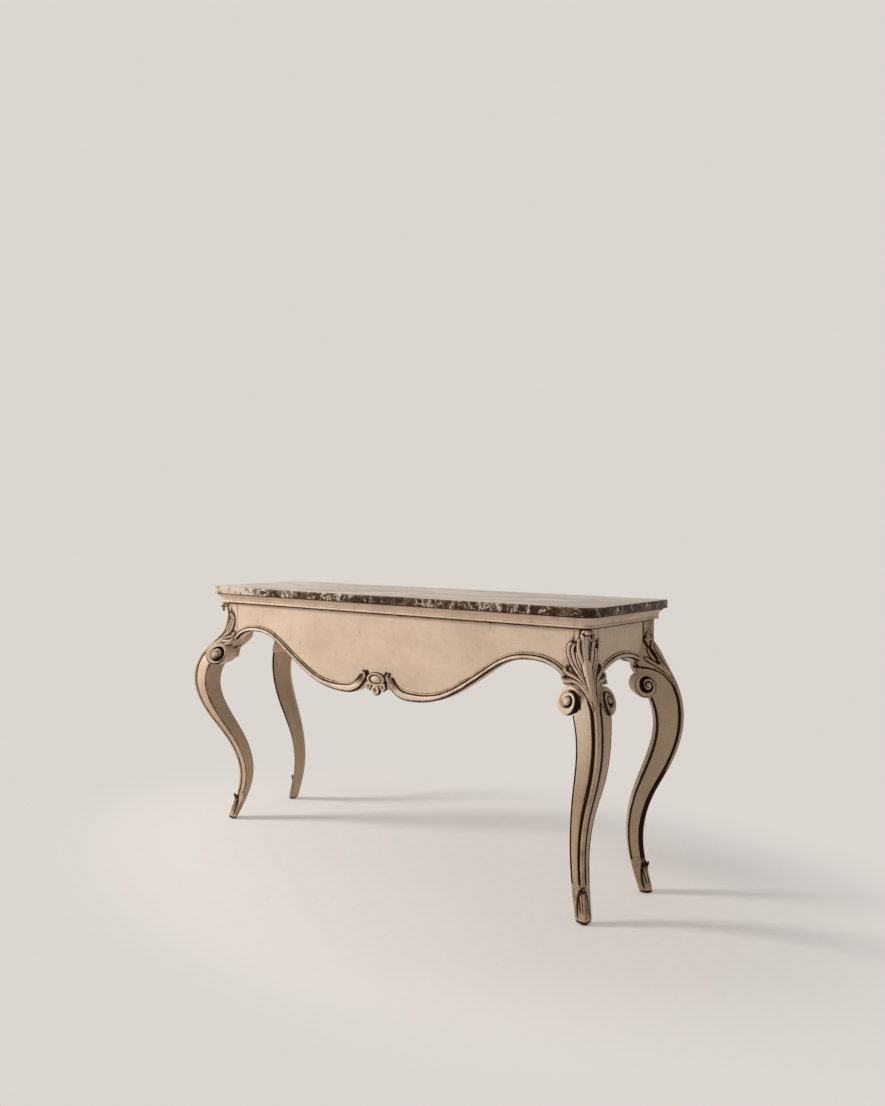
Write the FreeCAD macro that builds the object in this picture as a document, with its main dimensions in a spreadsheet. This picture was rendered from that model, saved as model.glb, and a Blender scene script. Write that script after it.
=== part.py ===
"""Pier table: a marble slab on a carved wooden frame with four cabriole legs.

Frame: the origin is on the floor, in the middle of the whole plan. +X runs along the table to the right,
+Y to the wall and +Z up. Millimetres. Right-hand pieces are modelled, left-hand ones are their mirror
images. A leg is drawn at the outer corner of its post: "out" is how far its outer arris stands outside the
faces of that post, and "wide" is the side of its square section.
"""
import FreeCAD, Part
import Sketcher
import math
import os
from FreeCAD import Placement, Rotation, Vector

SIZES = [
    # the whole
    ("table_height", 880),
    ("marble_width", 1660),
    ("marble_depth", 440),
    ("marble_thick", 25),
    ("marble_front_corner", 60),
    ("marble_back_corner", 8),
    ("marble_ease", 4),
    ("overhang", 44),
    ("back_overhang", 5),
    # cornice, from the post's face outwards and from its foot upwards
    ("cornice_high", 34),
    ("cornice_proud", 30),
    ("cornice_foot", 14),
    ("cornice_lip", 6),
    ("cornice_bead", 2),
    ("cornice_fillet", 7),
    ("cornice_quirk", 3),
    # posts
    ("post_wide", 80),
    ("post_deep_front", 64),
    ("post_deep_back", 74),
    ("post_high", 165),
    ("post_chamfer", 28),
    # aprons
    ("apron_thick", 26),
    ("apron_setback", 1),
    ("back_apron_thick", 22),
    ("back_apron_high", 135),
    ("lobe_drop", 306),
    ("lobe_from_centre", 150),
    ("centre_drop", 281),
    ("peak_drop", 135),
    ("peak_from_post", 110),
    ("slope_from_centre", 412),
    ("slope_drop", 211),
    ("slope_steep", 0.62),
    ("end_drop", 172),
    ("side_end_drop", 172),
    # bead along the aprons' lower edges
    ("bead_wide", 22),
    ("bead_proud", 9),
    ("bead_end_in", 47),
    ("bead_end_drop", 234),
    ("bead_turn_in", 66),
    ("bead_turn_drop", 281),
    # centre ornament
    ("ornament_drop", 250),
    ("cabochon_wide", 28),
    ("cabochon_high", 19),
    ("cabochon_proud", 16),
    ("cabochon_rim", 5),
    ("petal_long", 19),
    ("petal_wide", 13),
    ("petal_proud", 12),
    ("petal_drop", 37),
    ("petal_spread", 30),
    # leg stations: foot and ankle go by the floor, shin and calf by their share of the way up to the knee
    ("foot_out", -6),
    ("foot_wide", 38),
    ("foot_flat", 22),
    ("ankle_rise", 165),
    ("ankle_out", -38),
    ("ankle_wide", 43),
    ("ankle_flat", 12),
    ("shin_share", 0.37),
    ("shin_out", -6),
    ("shin_wide", 54),
    ("leg_flat", 6),
    ("calf_share", 0.64),
    ("calf_out", 44),
    ("calf_wide", 66),
    # knee and above go by the slab's underside
    ("knee_drop", 325),
    ("knee_out", 80),
    ("knee_wide", 73),
    ("thigh_drop", 215),
    ("thigh_out", 51),
    ("thigh_wide", 90),
    ("hip_drop", 165),
    ("hip_out", 12),
    ("hip_wide", 90),
    ("neck_drop", 112),
    ("neck_out", -13),
    ("neck_wide", 60),
    # back legs swing along the wall only
    ("back_swing", 1.09),
    ("back_step", 34),
    ("back_arris_in", 48),
    ("back_hip_out", 62),
    ("back_neck_out", 30),
    ("back_top_out", -6),
    ("back_top_drop", 65),
    # leaf on the front legs' arris
    ("leaf_wide", 36),
    ("leaf_top_drop", 36),
    ("leaf_curl_out", 12),
    ("leaf_curl_drop", 52),
    # scrolls beside the knees
    ("scroll_drop", 226),
    ("scroll_from_arris", 86),
    ("scroll_behind_face", 10),
    ("scroll_radius", 41),
    ("scroll_thick", 72),
    ("scroll_eye", 11),
    ("scroll_eye_proud", 6),
    # joinery
    ("tenon_thick", 10),
    ("tenon_high", 90),
    ("tenon_drop", 40),
    ("tenon_long", 45),
    ("tenon_long_side", 34),
    ("tenon_end_gap", 1),
    ("brace_reach", 100),
    ("brace_high", 40),
    ("brace_drop", 15),
    ("bolt_radius", 3),
    ("bolt_long", 80),
    ("bolt_head_radius", 7),
    ("bolt_head_high", 5),
    ("bolt_gap", 0.1),
    ("bolt_pitch", 20),
    ("rail_wide", 60),
    ("rail_thick", 20),
    ("rail_pitch", 450),
    ("rail_housing", 8),
    ("pad_radius", 12),
    ("pad_thick", 2),
    ("pad_pitch", 200),
    ("glide_radius", 11),
    ("glide_thick", 3),
    ("glide_pin_radius", 1.2),
    ("glide_pin_long", 15),
    ("glide_gap", 0.1),
]

doc = FreeCAD.newDocument("pier_table")
sheet = doc.addObject("Spreadsheet::Sheet", "Sizes")
for row, (alias, value) in enumerate(SIZES, start=1):
    sheet.set("A%d" % row, alias)
    sheet.set("B%d" % row, str(value))
    sheet.setAlias("B%d" % row, alias)
doc.recompute()


def size(alias):
    """The value of one cell, in mm."""
    return float(sheet.get(alias))


# ---------------------------------------------------------------- places worked out from the sizes
UNDERSIDE = size("table_height") - size("marble_thick")
SLAB_Y = (size("knee_out") - size("overhang")) / 2
POST_X = size("marble_width") / 2 - size("overhang")
POST_IN_X = POST_X - size("post_wide")
FRONT_Y = SLAB_Y - size("marble_depth") / 2 + size("overhang")
BACK_Y = SLAB_Y + size("marble_depth") / 2 - size("back_overhang")
FRONT_POST_IN_Y = FRONT_Y + size("post_deep_front")
BACK_POST_IN_Y = BACK_Y - size("post_deep_back")
APRON_FACE_Y = FRONT_Y + size("apron_setback")
APRON_BACK_Y = APRON_FACE_Y + size("apron_thick")
SIDE_FACE_X = POST_X - size("apron_setback")
SIDE_BACK_X = SIDE_FACE_X - size("apron_thick")
BACK_APRON_IN_Y = BACK_Y - size("back_apron_thick")
BACK_ARRIS_Y = BACK_Y - size("back_arris_in")
ORNAMENT_Z = UNDERSIDE - size("ornament_drop")
SCROLL_Z = UNDERSIDE - size("scroll_drop")

S = "Sizes."
UNDERSIDE_CELL = "(Sizes.table_height - Sizes.marble_thick)"
SLAB_Y_CELL = "((Sizes.knee_out - Sizes.overhang) / 2)"
POST_X_CELL = "(Sizes.marble_width / 2 - Sizes.overhang)"
POST_IN_CELL = "(%s - Sizes.post_wide)" % POST_X_CELL
FRONT_CELL = "(%s - Sizes.marble_depth / 2 + Sizes.overhang)" % SLAB_Y_CELL
BACK_CELL = "(%s + Sizes.marble_depth / 2 - Sizes.back_overhang)" % SLAB_Y_CELL
nodes = {}


def bind(item, **cells):
    """Ties the item's properties to cells; "_" in a property's name stands for "."."""
    for prop, cell in cells.items():
        item.setExpression(prop.replace("_", "."), cell)
    return item


def box(name, sizes, corner):
    """A box whose sizes and lowest corner are expressions on the sheet."""
    item = doc.addObject("Part::Box", name)
    bind(item, Length=sizes[0], Width=sizes[1], Height=sizes[2])
    bind(item, Placement_Base_x=corner[0], Placement_Base_y=corner[1], Placement_Base_z=corner[2])
    return item


def rod(name, radius, height, foot, direction):
    """A cylinder that starts at foot and runs along direction."""
    item = doc.addObject("Part::Cylinder", name)
    bind(item, Radius=radius, Height=height)
    item.Placement = Placement(foot, Rotation(Vector(0, 0, 1), direction))
    return item


def face_of(name, edges):
    """A flat closed outline, or several edges in any order."""
    item = doc.addObject("Part::Feature", name)
    item.Shape = Part.Face(Part.Wire(Part.__sortEdges__(edges)))
    return item


def extrude(name, outline, direction, length, back="0"):
    """The outline pushed along direction by one cell, and the other way by another."""
    item = doc.addObject("Part::Extrusion", name)
    item.Base = outline
    item.DirMode = "Custom"
    item.Dir = direction
    item.Solid = True
    bind(item, LengthFwd=length, LengthRev=back)
    return item


def join(name, items):
    item = doc.addObject("Part::MultiFuse", name)
    item.Shapes = items
    return item


def overlap(name, items):
    item = doc.addObject("Part::MultiCommon", name)
    item.Shapes = items
    return item


def cut(name, base, tools):
    """The base with every tool taken away."""
    tool = tools[0] if len(tools) == 1 else join(name + "_tools", tools)
    item = doc.addObject("Part::Cut", name)
    item.Base = base
    item.Tool = tool
    return item


def group(name, items):
    """Separate solids that share one node."""
    item = doc.addObject("Part::Compound", name)
    item.Links = items
    return item


def mirrored(name, source, normal=Vector(1, 0, 0), base=Vector(0, 0, 0)):
    item = doc.addObject("Part::Mirroring", name)
    item.Source = source
    item.Normal = normal
    item.Base = base
    return item


def moved(name, source, placement):
    """A copy of the source's solid, turned or shifted."""
    item = doc.addObject("Part::Compound", name)
    item.Links = [source]
    item.Placement = placement
    return item


def keep(name, item):
    """Marks an object as the sub-part of that name."""
    item.Label = name
    nodes[name] = item
    return item


def line(a, b):
    return Part.makeLine(a, b)


def curve(points, start=None, end=None):
    """A smooth curve through the points, with its end directions where they are given."""
    spline = Part.BSplineCurve()
    if start and end:
        spline.interpolate(Points=points, InitialTangent=start, FinalTangent=end)
    else:
        spline.interpolate(Points=points)
    return spline.toShape()


# ---------------------------------------------------------------- marble slab
def slab():
    body = doc.addObject("PartDesign::Body", "MarbleTop")
    plane = [f for f in body.Origin.OriginFeatures if f.Role == "XY_Plane"][0]
    sketch = body.newObject("Sketcher::SketchObject", "SlabOutline")
    sketch.AttachmentSupport = (plane, "")
    sketch.MapMode = "FlatFace"
    half_x, half_y = size("marble_width") / 2, size("marble_depth") / 2
    corners = [Vector(-half_x, -half_y, 0), Vector(half_x, -half_y, 0),
               Vector(half_x, half_y, 0), Vector(-half_x, half_y, 0)]
    for i in range(4):
        sketch.addGeometry(Part.LineSegment(corners[i], corners[(i + 1) % 4]))
        sketch.addConstraint(Sketcher.Constraint("Horizontal" if i % 2 == 0 else "Vertical", i))
    for i in range(4):
        sketch.addConstraint(Sketcher.Constraint("Coincident", i, 2, (i + 1) % 4, 1))
    sketch.addConstraint(Sketcher.Constraint("Symmetric", 0, 1, 1, 2, -1, 1))
    wide = sketch.addConstraint(Sketcher.Constraint("DistanceX", 0, 1, 0, 2, 2 * half_x))
    deep = sketch.addConstraint(Sketcher.Constraint("DistanceY", 1, 1, 1, 2, 2 * half_y))
    sketch.setExpression("Constraints[%d]" % wide, S + "marble_width")
    sketch.setExpression("Constraints[%d]" % deep, S + "marble_depth")
    pad = body.newObject("PartDesign::Pad", "SlabPad")
    pad.Profile = sketch
    bind(pad, Length=S + "marble_thick")
    doc.recompute()

    def upright(front):
        found = []
        for n, edge in enumerate(pad.Shape.Edges, start=1):
            a, b = edge.Vertexes[0].Point, edge.Vertexes[1].Point
            if abs(a.x - b.x) < 0.1 and abs(a.y - b.y) < 0.1 and (a.y < 0) == front:
                found.append("Edge%d" % n)
        return found

    fillet = body.newObject("PartDesign::Fillet", "FrontCorners")
    fillet.Base = (pad, upright(True))
    bind(fillet, Radius=S + "marble_front_corner")
    doc.recompute()
    back = body.newObject("PartDesign::Fillet", "BackCorners")
    names = []
    for n, edge in enumerate(fillet.Shape.Edges, start=1):
        a, b = edge.Vertexes[0].Point, edge.Vertexes[-1].Point
        if abs(a.x - b.x) < 0.1 and abs(a.y - b.y) < 0.1 and a.y > half_y - 1:
            names.append("Edge%d" % n)
    back.Base = (fillet, names)
    bind(back, Radius=S + "marble_back_corner")
    doc.recompute()
    eased = body.newObject("PartDesign::Fillet", "EasedArrises")
    rim = []
    for n, edge in enumerate(back.Shape.Edges, start=1):
        box_ = edge.BoundBox
        if box_.ZLength < 0.1 and box_.ZMax > size("marble_thick") - 0.1:
            rim.append("Edge%d" % n)
    eased.Base = (back, rim)
    bind(eased, Radius=S + "marble_ease")
    bind(body, Placement_Base_y=SLAB_Y_CELL, Placement_Base_z=UNDERSIDE_CELL)
    keep("marble_top", body)


# ---------------------------------------------------------------- cornice
def cornice():
    """Straight runs and half a rounded corner at each mitre, all from one profile."""
    proud, foot, lip = size("cornice_proud"), size("cornice_foot"), size("cornice_lip")
    high, fillet, quirk = size("cornice_high"), size("cornice_fillet"), size("cornice_quirk")
    corner = size("marble_front_corner") - size("overhang")
    axis_x, axis_y = POST_X - corner, FRONT_Y + corner

    def profile(name, origin, out):
        """The section, standing at origin, with its face side towards out."""
        def at(r, z):
            return origin + out * r + Vector(0, 0, UNDERSIDE - high + z)
        shoulder = high - fillet
        mid_r, mid_z = foot + (proud - quirk - foot) * 0.36, lip + (shoulder - lip) * 0.64
        cove = Part.Arc(at(foot, lip), at(mid_r, mid_z), at(proud - quirk, shoulder)).toShape()
        bead = Part.Arc(at(foot, 0), at(foot + size("cornice_bead"), lip / 2), at(foot, lip)).toShape()
        edges = [line(at(0, 0), at(foot, 0)), bead, cove,
                 line(at(proud - quirk, shoulder), at(proud, shoulder)),
                 line(at(proud, shoulder), at(proud, high)), line(at(proud, high), at(0, high)),
                 line(at(0, high), at(0, 0))]
        return face_of(name, edges)

    def turn(name, outline, angle):
        item = doc.addObject("Part::Revolution", name)
        item.Source = outline
        item.Base = Vector(axis_x, axis_y, 0)
        item.Axis = Vector(0, 0, 1)
        item.Angle = angle
        item.Solid = True
        return item

    front = profile("CorniceFrontSection", Vector(axis_x, FRONT_Y, 0), Vector(0, -1, 0))
    run = extrude("CorniceFrontHalf", front, Vector(-1, 0, 0), "%s + Sizes.overhang"
                  " - Sizes.marble_front_corner" % POST_X_CELL)
    half = join("CorniceFrontRight", [run, turn("CorniceFrontCorner", front, 45)])
    keep("cornice_front", join("CorniceFront", [half, mirrored("CorniceFrontLeft", half)]))
    side = profile("CorniceSideSection", Vector(POST_X, axis_y, 0), Vector(1, 0, 0))
    run = extrude("CorniceSideRun", side, Vector(0, 1, 0), "%s - %s + Sizes.overhang"
                  " - Sizes.marble_front_corner" % (BACK_CELL, FRONT_CELL))
    right = join("CorniceRight", [run, turn("CorniceSideCorner", side, -45)])
    keep("cornice_right", right)
    keep("cornice_left", mirrored("CorniceLeft", right))


# ---------------------------------------------------------------- aprons and their beads
def apron_points():
    """Stations of the front apron's lower edge, from the post to the centre."""
    def at(x, drop):
        return Vector(x, 0, UNDERSIDE - size(drop))
    end = at(POST_IN_X, "end_drop")
    peak = at(POST_IN_X - size("peak_from_post"), "peak_drop")
    lobe = at(size("lobe_from_centre"), "lobe_drop")
    return end, peak, lobe


def edge_curve(at_y):
    """The shared part of the lower edge: post, peak, long slope and lobe."""
    end, peak, lobe = [p + Vector(0, at_y, 0) for p in apron_points()]
    middle = Vector(size("slope_from_centre"), at_y, UNDERSIDE - size("slope_drop"))
    fall = Vector(-1, 0, -size("slope_steep"))
    shoulder = curve([end, peak], Vector(-1, 0, 1.1), Vector(-1, 0, 0))
    slope = [curve([peak, middle], Vector(-1, 0, 0), fall), curve([middle, lobe], fall, Vector(-1, 0, 0))]
    return [shoulder] + slope


def tenon(name, wide, deep, at_x, at_y):
    """A tenon on an apron's end, and the deeper mortise for it."""
    low = "%s - Sizes.tenon_drop - Sizes.tenon_high" % UNDERSIDE_CELL
    return box(name, (wide, deep, S + "tenon_high"), (at_x, at_y, low))


def front_apron():
    end, peak, lobe = [p + Vector(0, APRON_FACE_Y, 0) for p in apron_points()]
    centre = Vector(0, APRON_FACE_Y, UNDERSIDE - size("centre_drop"))
    flat = Vector(size("bead_turn_in"), APRON_FACE_Y, centre.z)
    edges = edge_curve(APRON_FACE_Y)
    edges += [curve([lobe, flat], Vector(-1, 0, 0), Vector(-1, 0, 1)), line(flat, centre)]
    top, outer = Vector(0, APRON_FACE_Y, UNDERSIDE), Vector(end.x, APRON_FACE_Y, UNDERSIDE)
    edges += [line(centre, top), line(top, outer), line(outer, end)]
    board = extrude("ApronFrontHalf", face_of("ApronFrontOutline", edges), Vector(0, 1, 0), S + "apron_thick")
    tongue = tenon("TenonFront", S + "tenon_long", S + "tenon_thick", POST_IN_CELL,
                   "%s + Sizes.apron_setback + (Sizes.apron_thick - Sizes.tenon_thick) / 2" % FRONT_CELL)
    half = join("ApronFrontRight", [board, tongue])
    whole = join("ApronFrontWhole", [half, mirrored("ApronFrontLeft", half)])
    keep("apron_front", cut("ApronFront", whole, rail_solids("FrontHousing")))


def back_apron():
    low = "%s - Sizes.back_apron_high" % UNDERSIDE_CELL
    board = box("ApronBackBoard", ("2 * %s" % POST_IN_CELL, S + "back_apron_thick", S + "back_apron_high"),
                ("-%s" % POST_IN_CELL, "%s - Sizes.back_apron_thick" % BACK_CELL, low))
    tongue = tenon("TenonBack", S + "tenon_long", S + "tenon_thick", POST_IN_CELL,
                   "%s - (Sizes.back_apron_thick + Sizes.tenon_thick) / 2" % BACK_CELL)
    whole = join("ApronBackWhole", [board, tongue, mirrored("TenonBackLeft", tongue)])
    keep("apron_back", cut("ApronBack", whole, rail_solids("BackHousing")))


def side_edge(at_x):
    """The arch of a side apron's lower edge, from the front post to the back one."""
    ends = UNDERSIDE - size("side_end_drop")
    middle = (FRONT_POST_IN_Y + BACK_POST_IN_Y) / 2
    return Part.Arc(Vector(at_x, FRONT_POST_IN_Y, ends), Vector(at_x, middle, UNDERSIDE - size("peak_drop")),
                    Vector(at_x, BACK_POST_IN_Y, ends)).toShape()


def side_aprons():
    arch = side_edge(SIDE_FACE_X)
    front, back = Vector(SIDE_FACE_X, FRONT_POST_IN_Y, 0), Vector(SIDE_FACE_X, BACK_POST_IN_Y, 0)
    low, high = Vector(0, 0, UNDERSIDE - size("side_end_drop")), Vector(0, 0, UNDERSIDE)
    edges = [arch, line(back + low, back + high), line(back + high, front + high), line(front + high, front + low)]
    board = extrude("ApronSideBoard", face_of("ApronSideOutline", edges), Vector(-1, 0, 0), S + "apron_thick")
    at_x = "%s - Sizes.apron_setback - (Sizes.apron_thick + Sizes.tenon_thick) / 2" % POST_X_CELL
    front_tongue = tenon("TenonSideFront", S + "tenon_thick", S + "tenon_long_side", at_x,
                         "%s + Sizes.post_deep_front - Sizes.tenon_long_side" % FRONT_CELL)
    back_tongue = tenon("TenonSideBack", S + "tenon_thick", S + "tenon_long_side", at_x,
                        "%s - Sizes.post_deep_back" % BACK_CELL)
    right = join("ApronRight", [board, front_tongue, back_tongue])
    keep("apron_right", right)
    keep("apron_left", mirrored("ApronLeft", right))


def bead(name, path_edges, start, along, up, out):
    """A half-round moulding that runs along an apron's lower edge, on its face."""
    path = doc.addObject("Part::Feature", name + "Path")
    path.Shape = Part.Wire(path_edges)
    wide, proud = size("bead_wide"), size("bead_proud")
    crown = Part.Arc(start, start + up * (wide / 2) + out * proud, start + up * wide).toShape()
    section = doc.addObject("Part::Feature", name + "Section")
    section.Shape = Part.Wire([crown, line(start + up * wide, start)])
    sweep = doc.addObject("Part::Sweep", name)
    sweep.Sections = [section]
    sweep.Spine = (path, ["Edge%d" % (n + 1) for n in range(len(path_edges))])
    sweep.Solid = True
    sweep.Frenet = False
    sweep.Transition = "Round corner"
    return sweep


def beads():
    out = Vector(0, -1, 0)
    end, peak, lobe = [p + Vector(0, APRON_FACE_Y, 0) for p in apron_points()]
    turn = Vector(size("bead_turn_in"), APRON_FACE_Y, UNDERSIDE - size("bead_turn_drop"))
    tip = Vector(size("bead_end_in"), APRON_FACE_Y, UNDERSIDE - size("bead_end_drop"))
    path = edge_curve(APRON_FACE_Y)
    path += [curve([lobe, turn, tip], Vector(-1, 0, 0), Vector(0, 0, 1))]
    along = Vector(-1, 0, 1.1).normalize()
    up = Vector(along.z, 0, -along.x)
    whole = bead("BeadFront", path, end, along, up, out)
    right = cut("BeadFrontRight", whole, [nodes["leg_front_right"]])
    keep("bead_front_right", right)
    keep("bead_front_left", mirrored("BeadFrontLeft", right))
    arch = side_edge(SIDE_FACE_X)
    along = arch.tangentAt(arch.FirstParameter)
    up = Vector(0, -along.z, along.y)
    start = arch.valueAt(arch.FirstParameter)
    whole = bead("BeadSide", [arch], start, along, up, Vector(1, 0, 0))
    side = cut("BeadRight", whole, [nodes["leg_front_right"], nodes["leg_back_right"]])
    keep("bead_right", side)
    keep("bead_left", mirrored("BeadLeft", side))


# ---------------------------------------------------------------- centre ornament
def ornament():
    def drop(name, high, wide, proud, x, z, tilt=0):
        item = doc.addObject("Part::Ellipsoid", name)
        bind(item, Radius1=high, Radius2=wide, Radius3=proud)
        item.Placement = Placement(Vector(x, APRON_FACE_Y, z), Rotation(Vector(0, 1, 0), tilt))
        return item
    jewel = drop("Cabochon", S + "cabochon_high", S + "cabochon_wide", S + "cabochon_proud", 0, ORNAMENT_Z)
    rim = drop("CabochonRim", "Sizes.cabochon_high + Sizes.cabochon_rim",
               "Sizes.cabochon_wide + Sizes.cabochon_rim", "Sizes.cabochon_proud * 0.7", 0, ORNAMENT_Z)
    petals = []
    for n, side in enumerate((-1, 0, 1)):
        lift = 9 * abs(side)
        petals.append(drop("Petal%d" % n, S + "petal_long", S + "petal_wide", S + "petal_proud",
                           side * size("petal_spread"), ORNAMENT_Z - size("petal_drop") + lift, side * -28))
    whole = join("OrnamentWhole", [jewel, rim] + petals)
    front = box("OrnamentSide", ("200", "100", "200"),
                ("-100", "%s + Sizes.apron_setback - 100" % FRONT_CELL, "%s - Sizes.ornament_drop - 100"
                 % UNDERSIDE_CELL))
    relief = overlap("OrnamentRelief", [whole, front])
    beside = [nodes["bead_front_left"], nodes["bead_front_right"]]
    keep("centre_ornament", cut("CentreOrnament", relief, beside))


# ---------------------------------------------------------------- legs
def leg_outline(rows):
    """The S of a leg, seen square to one face: outer and inner edges as smooth curves."""
    outer = [Vector(out, 0, height) for height, out, wide, flat in rows]
    inner = [Vector(out - wide, 0, height) for height, out, wide, flat in rows]
    return [curve(outer), line(outer[-1], inner[-1]), curve(inner), line(inner[0], outer[0])]


def corner_outline(rows):
    """The same S seen along the other diagonal: it stops short of the inner corner, which is cut flat."""
    far = 4 * size("knee_out")
    inner = [Vector((out - wide + flat / 2) * math.sqrt(2), 0, height) for height, out, wide, flat in rows]
    foot, top = Vector(far, 0, inner[0].z), Vector(far, 0, inner[-1].z)
    return [curve(inner), line(inner[-1], top), line(top, foot), line(foot, inner[0])]


def stations():
    """Height, out, wide and flat of the parts that all four legs share, from the foot to the thigh."""
    flat, ankle, knee = size("leg_flat"), size("ankle_rise"), UNDERSIDE - size("knee_drop")
    rows = [(size("glide_thick"), size("foot_out"), size("foot_wide"), size("foot_flat")),
            (ankle, size("ankle_out"), size("ankle_wide"), size("ankle_flat"))]
    for name in ("shin", "calf"):
        rows.append((ankle + (knee - ankle) * size(name + "_share"), size(name + "_out"), size(name + "_wide"), flat))
    for name in ("knee", "thigh"):
        rows.append((UNDERSIDE - size(name + "_drop"), size(name + "_out"), size(name + "_wide"), flat))
    return rows


def front_stations():
    flat = size("leg_flat")
    return stations() + [(UNDERSIDE - size("hip_drop"), size("hip_out"), size("hip_wide"), flat),
                         (UNDERSIDE - size("neck_drop"), size("neck_out"), size("neck_wide"), flat)]


def back_stations():
    """The back legs stand cornerwise, so their arris swings along the wall by the square root of two."""
    root, flat = math.sqrt(2), size("leg_flat")
    swing, step = size("back_swing"), size("back_step")
    rows = [(high, (out * swing + step) / root, wide, cut_) for high, out, wide, cut_ in stations()]
    rows.append((UNDERSIDE - size("hip_drop"), size("back_hip_out") / root, size("hip_wide"), flat))
    rows.append((UNDERSIDE - size("neck_drop"), size("back_neck_out") / root, size("neck_wide"), flat))
    rows.append((UNDERSIDE - size("back_top_drop"), size("back_top_out") / root, size("neck_wide"), flat))
    return rows


def sawn(name, rows):
    """A square-section leg: the S sawn from two sides at right angles, its inner corner planed off."""
    edges = leg_outline(rows)
    across = face_of(name + "OutlineX", edges)
    turned = face_of(name + "OutlineY", [e.rotated(Vector(), Vector(0, 0, 1), -90) for e in edges])
    edges = corner_outline(rows)
    slant = face_of(name + "OutlineXY", [e.rotated(Vector(), Vector(0, 0, 1), -45) for e in edges])
    reach = "3 * Sizes.knee_out"
    one = extrude(name + "SawnX", across, Vector(0, 1, 0), reach, reach)
    two = extrude(name + "SawnY", turned, Vector(1, 0, 0), reach, reach)
    three = extrude(name + "Planed", slant, Vector(1, 1, 0), reach, reach)
    return overlap(name + "Sawn", [one, two, three])


def bolt_axis(corner_y, inward):
    """Where a brace's bolts start, on its slant face, and their direction into the post."""
    apron_y = APRON_BACK_Y if inward > 0 else BACK_APRON_IN_Y
    near = Vector(POST_IN_X - size("brace_reach"), apron_y, 0)
    far = Vector(SIDE_BACK_X, corner_y + inward * size("brace_reach"), 0)
    slant = (far - near).normalize()
    return near, far, (near + far) * 0.5, Vector(slant.y * inward, -slant.x * inward, 0)


def bolts(name, corner_y, inward, gap, head):
    """The two bolts of one corner, or with a gap the holes for them."""
    near, far, start, into = bolt_axis(corner_y, inward)
    middle = UNDERSIDE - size("brace_drop") - size("brace_high") / 2
    items = []
    for n, side in enumerate((-1, 1)):
        foot = start + Vector(0, 0, middle + side * size("bolt_pitch") / 2)
        radius = "Sizes.bolt_radius + Sizes.bolt_gap * %d" % gap
        length = "Sizes.bolt_long + Sizes.bolt_gap * %d" % (10 * gap)
        shank = rod("%sShank%d" % (name, n), radius, length, foot, into)
        if head:
            cap = rod("%sHead%d" % (name, n), S + "bolt_head_radius", S + "bolt_head_high", foot, into * -1)
            shank = join("%sBolt%d" % (name, n), [shank, cap])
        items.append(shank)
    return items


def glide(name, x, y, hole):
    """A nail-on glide under a foot, or the hole for its pin."""
    foot, up = Vector(x, y, 0), Vector(0, 0, 1)
    pin_radius = "Sizes.glide_pin_radius + Sizes.glide_gap * %d" % hole
    pin_long = "Sizes.glide_thick + Sizes.glide_pin_long + Sizes.glide_gap * %d" % (10 * hole)
    pin = rod(name + "Pin", pin_radius, pin_long, foot, up)
    if hole:
        return pin
    return join(name, [pin, rod(name + "Disc", S + "glide_radius", S + "glide_thick", foot, up)])


def foot_centre(row):
    """How far the middle of a foot stands out, the flat at its inner corner allowed for."""
    high, out, wide, flat = row
    return out - wide / 2 + flat / 8


def scroll(name, beside, arris_out, placement, swapped=False):
    """A volute ear: a thick roll with a sunk face and an eye, fitted against what it stands beside."""
    centre = arris_out - size("scroll_from_arris")
    face = -(arris_out - size("scroll_behind_face"))
    radius, eye = size("scroll_radius"), size("scroll_eye")
    sunk = size("scroll_eye_proud")
    disc = rod(name + "Disc", S + "scroll_radius", S + "scroll_thick",
               Vector(centre, face, SCROLL_Z), Vector(0, 1, 0))
    ring = rod(name + "Ring", "Sizes.scroll_radius - Sizes.scroll_eye / 2", S + "scroll_eye_proud",
               Vector(centre, face, SCROLL_Z), Vector(0, 1, 0))
    boss = rod(name + "Boss", S + "scroll_eye", "Sizes.scroll_eye_proud * 2",
               Vector(centre, face, SCROLL_Z), Vector(0, 1, 0))
    whole = join(name + "Whole", [cut(name + "Dish", disc, [ring]), boss])
    if swapped:
        whole = mirrored(name + "Swapped", whole, Vector(1, 1, 0))
    return cut(name, moved(name + "Placed", whole, placement), beside)


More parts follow.
